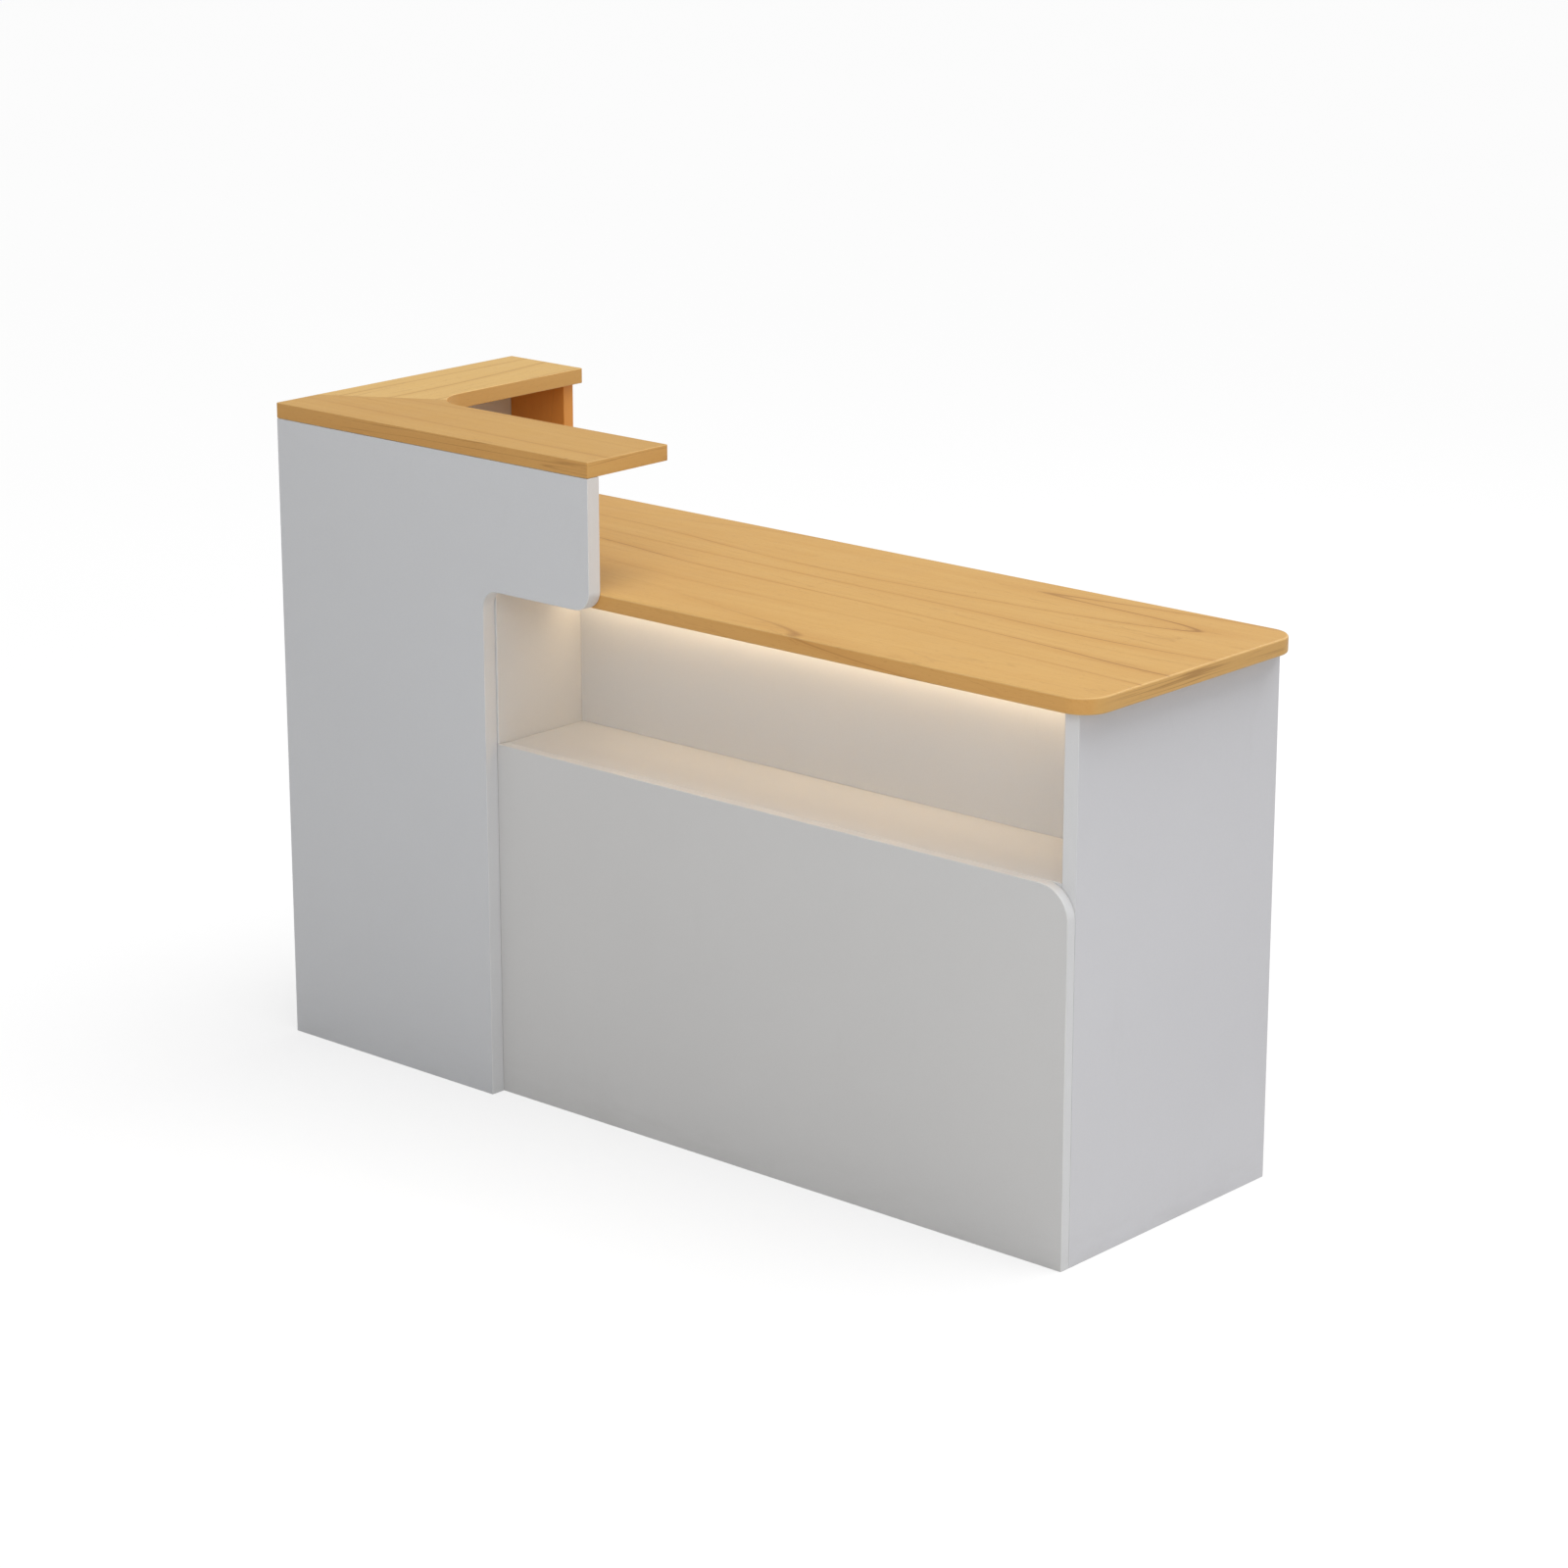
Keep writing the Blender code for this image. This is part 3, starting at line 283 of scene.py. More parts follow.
def edge_streaks(look, along, seed):
    """Thin lines along a board's edge, where the layers of the grain come out."""
    layers = look.grained(along, 75.0, 1.7, 2.0, 0.5, (seed * 2.0, seed, seed))
    line = look.step(look.math("ABSOLUTE", look.math("SUBTRACT", layers, 0.5)), 0.030, 0.0)
    strength = look.step(look.noise(3.4, 1.0), 0.42, 0.60)
    return look.math("MULTIPLY", line, look.span(strength, 0.0, 0.50))


def beech_look(name, along, seed, light=BEECH_LIGHT, dark=BEECH_DARK, line=BEECH_LINE,
               wing_from=None):
    """Satin beech-look top. With wing_from, a second board crosses it past that joint, which
    is a line in plan: x and y of its left end, and its slope."""
    look = Look(name)
    colour, height = beech_pattern(look, along, seed, light, dark, line)
    up = look.flat_along("Z")
    if wing_from:
        left_x, left_y, slope = wing_from
        place = look.parts(look.at)
        rise = look.math("MULTIPLY", look.math("SUBTRACT", place[0], left_x), slope)
        past = look.math("SUBTRACT", place[1], look.math("ADD", left_y, rise))
        wing, wing_height = beech_pattern(look, "Y", seed + 4.0, BEECH_WING, light, line)
        in_wing = look.step(past, -0.0004, 0.0004)
        colour = look.mix(in_wing, colour, wing)
        joint = look.step(look.math("ABSOLUTE", past), 0.0012, 0.0003)
        colour = look.mix(look.math("MULTIPLY", joint, 0.55), colour, line)
        height = look.mix(in_wing, height, wing_height)
    # Faces that don't look up turn towards a redder orange: painted shade and bounce light on the
    # edges.
    side = look.step(up, 0.6, 0.2)
    colour = look.mix(look.math("MULTIPLY", side, 0.40), colour, BEECH_SIDE_SHADE)
    if along == "X":
        streaks = look.math("MULTIPLY", edge_streaks(look, "X", seed), side)
        colour = look.mix(streaks, colour, line)
        end_face = look.step(look.flat_along("X"), 0.75, 0.95)
        band = beech_pattern(look, "Y", seed + 7.0, light, dark, line)[0]
        band = look.mix(0.35, band, BEECH_END)
        band = look.mix(edge_streaks(look, "Y", seed + 3.0), band, line)
        colour = look.mix(end_face, colour, band)
    # The rounded arris is always lighter, more where the wear noise is high: partly wear, partly a
    # painted highlight.
    arris = look.math("MULTIPLY", look.step(up, 0.99, 0.85), look.step(up, 0.1, 0.4))
    wear = look.noise(22.0, 4.0, 0.6)
    worn = look.math("MULTIPLY", arris, look.span(wear, 0.05, 0.45))
    colour = look.mix(worn, colour, BEECH_WORN_AND_HIGHLIGHT)
    gloss = look.span(wear, 0.36, 0.50)
    look.shader.inputs["Specular IOR Level"].default_value = 0.28
    return look.finish(colour, gloss, height, depth=0.00015, strength=0.30)


def brushed_look(name, colour, along, roughness=0.32, seed=0.0):
    """Brushed or rolled metal with fine lines along an axis and a cloudy polish."""
    look = Look(name, roughness, 1.0)
    brushing = look.grained(along, 900.0, 12.0, 3.0, 0.6, (seed, seed, seed))
    cloud = look.noise(45.0, 3.0, 0.6)
    tone = look.math("ADD", look.span(brushing, 0.86, 1.10), look.span(cloud, -0.06, 0.06))
    shaded = look.shade(colour, tone)
    rough = look.math("ADD", look.span(brushing, roughness - 0.08, roughness + 0.10),
                      look.span(cloud, -0.05, 0.07))
    return look.finish(shaded, rough, brushing, depth=0.00004, strength=0.40)


def plastic_look(name, colour, roughness=0.4, grain=900.0, seed=0.0):
    """Moulded plastic with a fine grain, and faint flow marks in its colour and gloss."""
    look = Look(name, roughness)
    texture = look.noise(grain, 2.0, 0.55, look.stretch(SAME, (seed, seed, 0.0)))
    flow = look.noise(26.0, 3.0, 0.5)
    tone = look.math("ADD", look.span(texture, 0.96, 1.04), look.span(flow, -0.05, 0.05))
    shaded = look.shade(colour, tone)
    rough = look.math("ADD", look.span(texture, roughness - 0.05, roughness + 0.05),
                      look.span(flow, -0.06, 0.06))
    return look.finish(shaded, rough, texture, depth=0.00006, strength=0.45)


LAMP_PITCH = 0.0166            # from lamp to lamp along the light strip
LAMP_GLOW = (1.0, 0.86, 0.66)
LAMP_GLOW_STRENGTH = 3.0


def diffuser_look(name):
    """Lit opal cover, slightly brighter over each lamp of the strip behind it."""
    look = Look(name, 0.5)
    turn = look.math("MULTIPLY", look.parts(look.at)[0], math.pi / LAMP_PITCH)
    lamp = look.math("ABSOLUTE", look.math("SINE", turn))
    tone = look.math("ADD", look.span(lamp, 0.90, 1.0), look.span(look.noise(400.0), -0.03, 0.03))
    shaded = look.shade(LAMP_GLOW, tone)
    look.tree.links.new(shaded, look.shader.inputs["Emission Color"])
    look.shader.inputs["Emission Strength"].default_value = LAMP_GLOW_STRENGTH
    return look.finish(shaded, look.span(look.noise(60.0), 0.42, 0.55))


# The axis that each board's faces look along, the boards that stand on the floor, and small
# shifts of their tone. The niche's back wall and divider are made lighter and warmer: painted
# glow of the niche lamp.
BOARD_AXES = {
    "tall_front_panel": "Y", "low_front_panel": "Y", "left_side_panel": "X",
    "right_side_panel": "X", "niche_divider": "X", "niche_deck": "Z", "niche_back_wall": "Y",
    "lower_partition": "X", "upper_partition": "X", "left_bottom_panel": "Z",
    "right_bottom_panel": "Z", "left_plinth": "Y", "right_plinth": "Y", "drawer_deck": "Z",
    "top_rail": "Y", "cabinet_shelf": "Z", "middle_shelf": "Z", "right_shelf": "Z",
    "till_drawer_box": "Z", "till_drawer_front": "Y", "cabinet_door": "Y",
}
ON_FLOOR = ("tall_front_panel", "low_front_panel", "left_side_panel", "right_side_panel",
            "niche_divider", "left_plinth", "right_plinth")
TINTS_AND_NICHE_GLOW = {"tall_front_panel": (0.990, 1.000, 1.015), "low_front_panel": (0.995, 0.985, 0.965),
         "right_side_panel": (0.990, 0.985, 1.010), "niche_back_wall": (1.110, 1.100, 1.080),
         "niche_divider": (1.030, 1.020, 1.000)}
FIRST_SEED = 0.37
WING_JOINT_INSET = 0.0825      # left end of the ledge's joint, behind its front edge
WING_JOINT_SLOPE = 0.585

LOOKS = {}
for seed, (node, axis) in enumerate(BOARD_AXES.items()):
    LOOKS[node] = board_look("melamine_" + node, axis, seed + FIRST_SEED, node in ON_FLOOR,
                             TINTS_AND_NICHE_GLOW.get(node, SAME))
LOOKS["worktop"] = beech_look("beech_worktop", "X", 1.0, TOP_LIGHT, TOP_DARK)
LOOKS["ledge_top"] = beech_look("beech_ledge", "X", 2.6, wing_from=(
    CAD_LOW[0], CAD_LOW[1] + WING_JOINT_INSET, WING_JOINT_SLOPE))
# Painted shade: the end panel's deeper orange stands in for shade and bounce from the wood round
# it.
LOOKS["wing_end_panel"] = beech_look("beech_end", "Z", 3.9, SHADED_END_LIGHT, SHADED_END_DARK, SHADED_END_LINE)

ZINC = (0.60, 0.61, 0.62)
NICKEL = (0.66, 0.645, 0.62)
steel_x = brushed_look("zinc_steel_x", ZINC, "X", 0.34)
steel_y = brushed_look("zinc_steel_y", ZINC, "Y", 0.34, 2.0)
nickel_x = brushed_look("nickel_x", NICKEL, "X", 0.28, 1.0)
nickel_z = brushed_look("nickel_z", NICKEL, "Z", 0.28, 3.0)
screw_steel = brushed_look("screw_steel", (0.64, 0.64, 0.62), "Z", 0.30, 5.0)
white_plastic = plastic_look("white_plastic", (0.72, 0.72, 0.70), 0.38)
lead_plastic = plastic_look("lead_plastic", (0.70, 0.70, 0.69), 0.45, 500.0, 2.0)
grey_plastic = plastic_look("grey_plastic", (0.20, 0.205, 0.21), 0.45, 800.0, 3.0)
black_plastic = plastic_look("black_plastic", (0.022, 0.022, 0.024), 0.33, 700.0, 4.0)
cap_plastic = plastic_look("cap_plastic", (0.74, 0.74, 0.73), 0.33, 1100.0, 5.0)

FINISHES = {
    steel_x: ["lock_housing", "lock_barrel", "lock_cam", "lower_pivot", "upper_pivot",
              "catch_plate"] + ["%s_shelf_pin_%d" % (shelf, number) for shelf in
                                ("middle", "right") for number in (1, 2, 3, 4)],
    steel_y: ["ledge_bracket_1", "ledge_bracket_2"] + [
        "runner_%s_%s" % (member, side) for member in ("cabinet", "middle", "drawer")
        for side in ("left", "right")],
    nickel_x: ["till_drawer_handle"],
    nickel_z: ["door_handle"],
    brushed_look("anodised", (0.74, 0.745, 0.75), "X", 0.30, 7.0): ["led_channel"],
    white_plastic: ["led_strip", "led_driver", "switch_housing", "catch_body"],
    lead_plastic: ["led_lead", "switch_lead"],
    grey_plastic: ["cable_grommet", "lower_bush", "upper_bush"],
    black_plastic: ["switch_rocker"],
    diffuser_look("opal_diffuser"): ["led_diffuser"],
}
for material, names in FINISHES.items():
    for node in names:
        LOOKS[node] = material
for node, obj in NODES.items():
    obj.material_slots[0].material = LOOKS[node]


# ---------------------------------------------------------------- shading of the CAD nodes

SMOOTH_UNDER = math.cos(math.radians(50))
STEPS_PER_METRE = 1e5          # corners in the same step of space share their normals


def smooth_shading(mesh):
    """Area-weighted corner normals across edges flatter than the limit. Vertices stay put."""
    places = np.empty(len(mesh.vertices) * 3, np.float32)
    mesh.vertices.foreach_get("co", places)
    places = np.round(places.reshape(-1, 3) * STEPS_PER_METRE).astype(np.int64)
    faces = len(mesh.polygons)
    normals, areas = np.empty(faces * 3), np.empty(faces)
    mesh.polygons.foreach_get("normal", normals)
    mesh.polygons.foreach_get("area", areas)
    normals = normals.reshape(-1, 3)
    corner_vertex = np.empty(len(mesh.loops), np.int32)
    mesh.loops.foreach_get("vertex_index", corner_vertex)
    corner_face = np.repeat(np.arange(faces), [len(p.vertices) for p in mesh.polygons])
    _, groups = np.unique(places[corner_vertex], axis=0, return_inverse=True)
    order = np.argsort(groups.ravel(), kind="stable")
    edges = np.flatnonzero(np.diff(groups.ravel()[order])) + 1
    result = np.empty((len(mesh.loops), 3))
    for corners in np.split(order, edges):
        own = normals[corner_face[corners]]
        weight = areas[corner_face[corners]]
        near = (own @ own.T) > SMOOTH_UNDER
        result[corners] = (near * weight[None, :]) @ own
    result /= np.linalg.norm(result, axis=1)[:, None]
    mesh.shade_smooth()
    mesh.normals_split_custom_set(result.tolist())


for obj in NODES.values():
    smooth_shading(obj.data)


# ---------------------------------------------------------------- making pieces

UP, DOWN = Vector((0, 0, 1)), Vector((0, 0, -1))
EAST, WEST = Vector((1, 0, 0)), Vector((-1, 0, 0))
STAFF, CUSTOMER = Vector((0, 1, 0)), Vector((0, -1, 0))
SMOOTH_EDGES = math.radians(40)


def facing(place, direction):
    """Matrix that puts a thing modelled along +Z at the place, turned to the direction."""
    direction = Vector(direction)
    turn = direction.to_track_quat("Z", "Y" if abs(direction.y) < 0.9 else "X")
    return Matrix.Translation(place) @ turn.to_matrix().to_4x4()


def piece(name, bm, body, material):
    """Finish a bmesh in the row frame as a named piece that rides on a body."""
    mesh = bpy.data.meshes.new(name)
    bm.to_mesh(mesh)
    bm.free()
    mesh.shade_smooth()
    mesh.set_sharp_from_angle(angle=SMOOTH_EDGES)
    mesh.materials.append(material)
    obj = bpy.data.objects.new(name, mesh)
    bpy.context.scene.collection.objects.link(obj)
    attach(obj, body)


def lathe(bm, profile, matrix=Matrix.Identity(4), sides=24):
    """Turn a (radius, height) profile about +Z. It starts and ends on the axis, or it closes."""
    rings = []
    for radius, height in profile:
        if radius == 0:
            rings.append([bm.verts.new(matrix @ Vector((0, 0, height)))])
            continue
        turns = [2 * math.pi * step / sides for step in range(sides)]
        rings.append([bm.verts.new(matrix @ Vector((radius * math.cos(a), radius * math.sin(a),
                                                    height))) for a in turns])
    pairs = list(zip(rings, rings[1:]))
    if profile[0][0] and profile[-1][0]:
        pairs.append((rings[-1], rings[0]))
    faces = []
    for low, high in pairs:
        for step in range(sides):
            after = (step + 1) % sides
            if len(low) == 1:
                corners = (low[0], high[after], high[step])
            elif len(high) == 1:
                corners = (low[step], low[after], high[0])
            else:
                corners = (low[step], low[after], high[after], high[step])
            faces.append(bm.faces.new(corners))
    bmesh.ops.recalc_face_normals(bm, faces=faces)


def slab(bm, low, high, edge, steps=2):
    """A block between two corners with rounded edges."""
    low, high = Vector(low), Vector(high)
    made = bmesh.ops.create_cube(bm, size=1.0)["verts"]
    bmesh.ops.scale(bm, vec=high - low, verts=made)
    bmesh.ops.translate(bm, vec=(low + high) / 2, verts=made)
    edges = list({e for v in made for e in v.link_edges})
    bmesh.ops.bevel(bm, geom=edges, offset=edge, segments=steps, affect="EDGES", profile=0.5)


def prism(bm, outline, matrix, length):
    """Extrude a closed outline of (x, y) points from z = 0 to the length."""
    low = [bm.verts.new(matrix @ Vector((x, y, 0))) for x, y in outline]
    high = [bm.verts.new(matrix @ Vector((x, y, length))) for x, y in outline]
    faces = [bm.faces.new(low), bm.faces.new(high)]
    for index in range(len(outline)):
        after = (index + 1) % len(outline)
        faces.append(bm.faces.new((low[index], low[after], high[after], high[index])))
    bmesh.ops.recalc_face_normals(bm, faces=faces)


def copy_into(bm, mesh, matrix):
    """Add a copy of a mesh, moved by the matrix."""
    start = len(bm.verts)
    bm.from_mesh(mesh)
    bm.verts.ensure_lookup_table()
    bmesh.ops.transform(bm, matrix=matrix, verts=bm.verts[start:])


def screw_mesh(radius, height, sunk=False):
    """A screw head, domed or flat, with a cross recess."""
    if sunk:
        profile = [(0, 0), (radius * 0.96, 0), (radius, height * 0.4), (radius * 0.93, height),
                   (0, height)]
    else:
        profile = [(0, 0), (radius * 0.97, 0), (radius, height * 0.12), (radius, height * 0.38),
                   (radius * 0.90, height * 0.66), (radius * 0.68, height * 0.88),
                   (radius * 0.36, height * 0.98), (0, height)]
    head, recess = bmesh.new(), bmesh.new()
    lathe(head, profile)
    arm, thin = radius * 0.62, radius * 0.15
    cross = [(arm, thin), (thin, thin), (thin, arm), (-thin, arm), (-thin, thin), (-arm, thin),
             (-arm, -thin), (-thin, -thin), (-thin, -arm), (thin, -arm), (thin, -thin),
             (arm, -thin)]
    prism(recess, cross, Matrix.Translation((0, 0, height * 0.35)), height)
    holder, tool = (bpy.data.objects.new(name, bpy.data.meshes.new(name))
                    for name in ("head", "recess"))
    for obj, bm in ((holder, head), (tool, recess)):
        bm.to_mesh(obj.data)
        bm.free()
        bpy.context.scene.collection.objects.link(obj)
    cut = holder.modifiers.new("recess", "BOOLEAN")
    cut.operation, cut.solver, cut.object = "DIFFERENCE", "EXACT", tool
    bpy.context.view_layer.update()
    made = bpy.data.meshes.new_from_object(
        holder.evaluated_get(bpy.context.evaluated_depsgraph_get()))
    for obj in (holder, tool):
        bpy.data.objects.remove(obj)
    return made


PAN_SCREW = screw_mesh(radius=0.0036, height=0.0020)
SMALL_SCREW = screw_mesh(radius=0.0026, height=0.0015)
FLAT_SCREW = screw_mesh(radius=0.0034, height=0.0006, sunk=True)
FIRST_TURN, NEXT_TURN = 0.7, 1.1     # radians that the crosses of a row of screws are turned


def screws(name, body, mesh, places):
    """Screw heads at (place, direction) pairs, as one piece."""
    bm = bmesh.new()
    for number, (place, direction) in enumerate(places):
        turn = Matrix.Rotation(FIRST_TURN + NEXT_TURN * number, 4, "Z")
        copy_into(bm, mesh, facing(place, direction) @ turn)
    piece(name, bm, body, screw_steel)


def middle(node):
    low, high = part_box(node)
    return (low + high) / 2


# ---------------------------------------------------------------- fastenings of the boards

def bracket_details():
    """Screws of the ledge brackets, and the pressed rib in each bend."""
    steel, half_pair, rise, reaches = 0.003, 0.011, 0.014, (0.046, 0.084)
    size, half, edge = 0.024, 0.0035, 0.0010
    section = [(0, 0), (size, 0), (size * 0.45, size * 0.30), (size * 0.30, size * 0.45),
               (0, size)]
    for number in (1, 2):
        low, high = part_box("ledge_bracket_%d" % number)
        x = (low.x + high.x) / 2
        near, under = low.y + steel, high.z - steel
        screws("bracket_screws_%d" % number, "carcass", PAN_SCREW,
               [((x + side * half_pair, near, low.z + rise), STAFF) for side in (-1, 1)]
               + [((x, low.y + reach, under), DOWN) for reach in reaches])
        bm = bmesh.new()
        turn = Matrix(((0, 0, 1, x - half), (1, 0, 0, near), (0, -1, 0, under), (0, 0, 0, 1)))
        prism(bm, section, turn, 2 * half)
        bmesh.ops.bevel(bm, geom=bm.edges[:], offset=edge, segments=2, affect="EDGES",
                        profile=0.5)
        piece("bracket_rib_%d" % number, bm, "carcass", steel_y)


def worktop_angles():
    """Small steel angles that hold the worktop on the upright boards, with their screws."""
    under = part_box("worktop")[0].z
    leg, steel, width, places_y = 0.020, 0.0015, 0.016, (0.060, 0.180)
    bore = leg * 0.62
    walls = [(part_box("niche_divider")[1].x, 1), (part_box("upper_partition")[0].x, -1),
             (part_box("upper_partition")[1].x, 1), (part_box("right_side_panel")[0].x, -1)]
    section = [(0, 0), (leg, 0), (leg, steel), (steel * 2.2, steel), (steel, steel * 2.2),
               (steel, leg), (0, leg)]
    bm, places = bmesh.new(), []
    for x, side in walls:
        for y in places_y:
            turn = Matrix(((side, 0, 0, x), (0, 0, 1, y - width / 2), (0, -1, 0, under),
                           (0, 0, 0, 1)))
            prism(bm, section, turn, width)
            places += [((x + side * bore, y, under - steel), DOWN),
                       ((x + side * steel, y, under - bore), (side, 0, 0))]
    piece("worktop_angles", bm, "carcass", steel_y)
    screws("worktop_angle_screws", "carcass", PAN_SCREW, places)


CAP_PROFILE = [(0, 0), (0.0085, 0), (0.0086, 0.0004), (0.0080, 0.0010), (0.0062, 0.0013),
               (0.0060, 0.0009), (0.0050, 0.0008), (0.0048, 0.0012), (0, 0.0012)]


def fitting_caps():
    """Covers of the cam fittings, near the ends of the boards that they pull tight."""
    inset, rows = 0.034, (-0.165, 0.160)
    left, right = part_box("left_bottom_panel"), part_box("right_bottom_panel")
    split_low, split_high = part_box("lower_partition")
    deck_low, deck_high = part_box("niche_deck")
    by_split = (split_low.x - inset, split_high.x + inset)
    places = []
    for low, high in (left, right):
        places += [((x, y, high.z), UP) for x in (low.x + inset, high.x - inset) for y in rows]
    places += [((x, y, right[1].z), UP) for x in by_split for y in rows]
    places += [((x, y, deck_low.z), DOWN)
               for x in (deck_low.x + inset, deck_high.x - inset, *by_split) for y in rows]
    bm = bmesh.new()
    for place, direction in places:
        lathe(bm, CAP_PROFILE, facing(place, direction))
    piece("fitting_caps", bm, "carcass", cap_plastic)


def plinth_seals():
    """Soft lip along the foot of each plinth, which keeps mop water out of the board."""
    reach, lip, thick, end_room, floor_room = 0.0035, 0.012, 0.0010, 0.001, 0.0002
    section = [(0, 0), (reach, 0), (thick + 0.0008, 0.0022), (thick, lip), (0, lip)]
    for side in ("left", "right"):
        low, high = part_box(side + "_plinth")
        bm = bmesh.new()
        turn = Matrix(((0, 0, 1, low.x + end_room), (1, 0, 0, high.y), (0, 1, 0, floor_room),
                       (0, 0, 0, 1)))
        prism(bm, section, turn, high.x - low.x - 2 * end_room)
        piece("%s_plinth_seal" % side, bm, "carcass", lead_plastic)


# ---------------------------------------------------------------- light, driver and switch

def channel_caps():
    """Moulded end caps of the aluminium channel."""
    low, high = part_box("led_channel")
    thick, lip, edge = 0.0016, 0.0006, 0.0005
    for tag, x in (("left", low.x - thick), ("right", high.x)):
        bm = bmesh.new()
        slab(bm, (x, low.y - lip, low.z - lip), (x + thick, high.y + lip, high.z), edge)
        piece("channel_cap_" + tag, bm, "carcass", cap_plastic)


def strip_lamps():
    """The lamps along the light strip, above the opal cover."""
    low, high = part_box("led_strip")
    half_x, half_y, tall, edge = 0.0014, 0.0018, 0.0007, 0.0002
    gel = plastic_look("lamp_gel", (0.80, 0.62, 0.12), 0.30, 400.0)
    y = (low.y + high.y) / 2
    bm = bmesh.new()
    x = low.x + LAMP_PITCH / 2
    while x < high.x - half_x:
        slab(bm, (x - half_x, y - half_y, low.z - tall), (x + half_x, y + half_y, low.z), edge, 1)
        x += LAMP_PITCH
    piece("strip_lamps", bm, "carcass", gel)


def driver_details():
    """Ribs, fixing ears, screws and inlet pins of the light's driver."""
    low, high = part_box("led_driver")
    bm = bmesh.new()
    rib, pitch, count, sunk, proud, margin, edge = 0.0016, 0.0040, 9, 0.0002, 0.0009, 0.007, 0.0004
    for group in (0.020, 0.088):
        for number in range(count):
            x = low.x + group + number * pitch
            slab(bm, (x, high.y - sunk, low.z + margin),
                 (x + rib, high.y + proud, high.z - margin), edge)
    piece("driver_ribs", bm, "carcass", white_plastic)
    bm, places = bmesh.new(), []
    reach, tall, thick, room, edge = 0.013, 0.018, 0.003, 0.0002, 0.0008
    z = (low.z + high.z) / 2
    for x, side in ((low.x, -1), (high.x, 1)):
        ends = sorted((x + side * room, x + side * reach))
        slab(bm, (ends[0], low.y, z - tall / 2), (ends[1], low.y + thick, z + tall / 2), edge)
        places.append(((x + side * reach * 0.58, low.y + thick, z), STAFF))
    piece("driver_ears", bm, "carcass", white_plastic)
    screws("driver_screws", "carcass", SMALL_SCREW, places)
    bm = bmesh.new()
    radius, length, spread, depth, rise = 0.0012, 0.0080, 0.0043, 0.0119, 0.009
    pin = [(0, 0), (radius, 0), (radius, length - radius * 0.7),
           (radius * 0.6, length - radius * 0.15), (0, length)]
    inlet = Vector((low.x + depth, (low.y + high.y) / 2, low.z + rise))
    for side in (-1, 1):
        lathe(bm, pin, facing(inlet + Vector((0, side * spread, 0)), WEST), 16)
    piece("inlet_pins", bm, "carcass", nickel_x)


def lead_bushings():
    """Ribbed strain reliefs where the leads leave the driver and the switch."""
    driver_low, driver_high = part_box("led_driver")
    y = (driver_low.y + driver_high.y) / 2
    switch_low, switch_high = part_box("switch_housing")
    from_switch, to_light, at_switch = 0.009, 0.015, 0.0032     # leads, below the boxes' tops
    exits = [((driver_low.x, y, driver_high.z - from_switch), WEST),
             ((driver_high.x, y, driver_high.z - to_light), EAST),
             ((middle("switch_housing").x, switch_low.y, switch_high.z - at_switch), CUSTOMER)]
    bore, radius, length, first, pitch, taper = 0.0021, 0.0032, 0.0096, 0.0012, 0.0024, 0.0002
    profile = [(bore, 0), (radius, 0)]
    for ring in range(3):
        near = first + ring * pitch
        wide = radius - taper * ring
        profile += [(wide, near), (wide - 0.0005, near + 0.0004), (wide - 0.0005, near + 0.0012),
                    (wide - 0.0002, near + 0.0016)]
    profile += [(bore + 0.0003, length), (bore, length)]
    bm = bmesh.new()
    for place, direction in exits:
        lathe(bm, profile, facing(place, direction), 20)
    piece("lead_bushings", bm, "carcass", white_plastic)


def lead_clips():
    """Nail-in saddles that hold the switch's lead up under the worktop."""
    rise = 0.0033              # lead's middle to the underside that the clips touch
    lead_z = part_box("worktop")[0].z - 0.0002 - rise
    switch_x, driver_y = middle("switch_housing").x, middle("led_driver").y
    along_y = [(switch_x, y) for y in (0.145, 0.060)]
    along_x = [(x, driver_y) for x in (0.400, 0.465)]
    inner, outer, width, foot, thick = 0.0022, 0.0031, 0.006, 0.0085, 0.0013
    nail = [(0, 0), (0.0016, 0), (0.0016, 0.0004), (0.0009, 0.0008), (0, 0.0009)]
    arc_steps = 10
    arc = [math.pi + math.pi * step / arc_steps for step in range(arc_steps + 1)]
    section = [(outer * math.cos(a), outer * math.sin(a)) for a in arc]
    section += [(outer, rise - thick), (outer + foot, rise - thick), (outer + foot, rise),
                (inner, rise)]
    section += [(inner * math.cos(a), inner * math.sin(a)) for a in reversed(arc)]
    section += [(-inner, rise), (-outer, rise)]
    bm, nails = bmesh.new(), bmesh.new()
    for places, turn in ((along_y, math.pi), (along_x, math.pi / 2)):
        for x, y in places:
            clip_at = (Matrix.Translation((x, y, lead_z)) @ Matrix.Rotation(turn, 4, "Z")
                       @ Matrix.Rotation(math.pi / 2, 4, "X")
                       @ Matrix.Translation((0, 0, -width / 2)))
            prism(bm, section, clip_at, width)
            head = clip_at @ Vector((outer + foot * 0.55, rise - thick, width / 2))
            lathe(nails, nail, facing(head, DOWN), 16)
    piece("lead_clips", bm, "carcass", cap_plastic)
    piece("clip_nails", nails, "carcass", screw_steel)


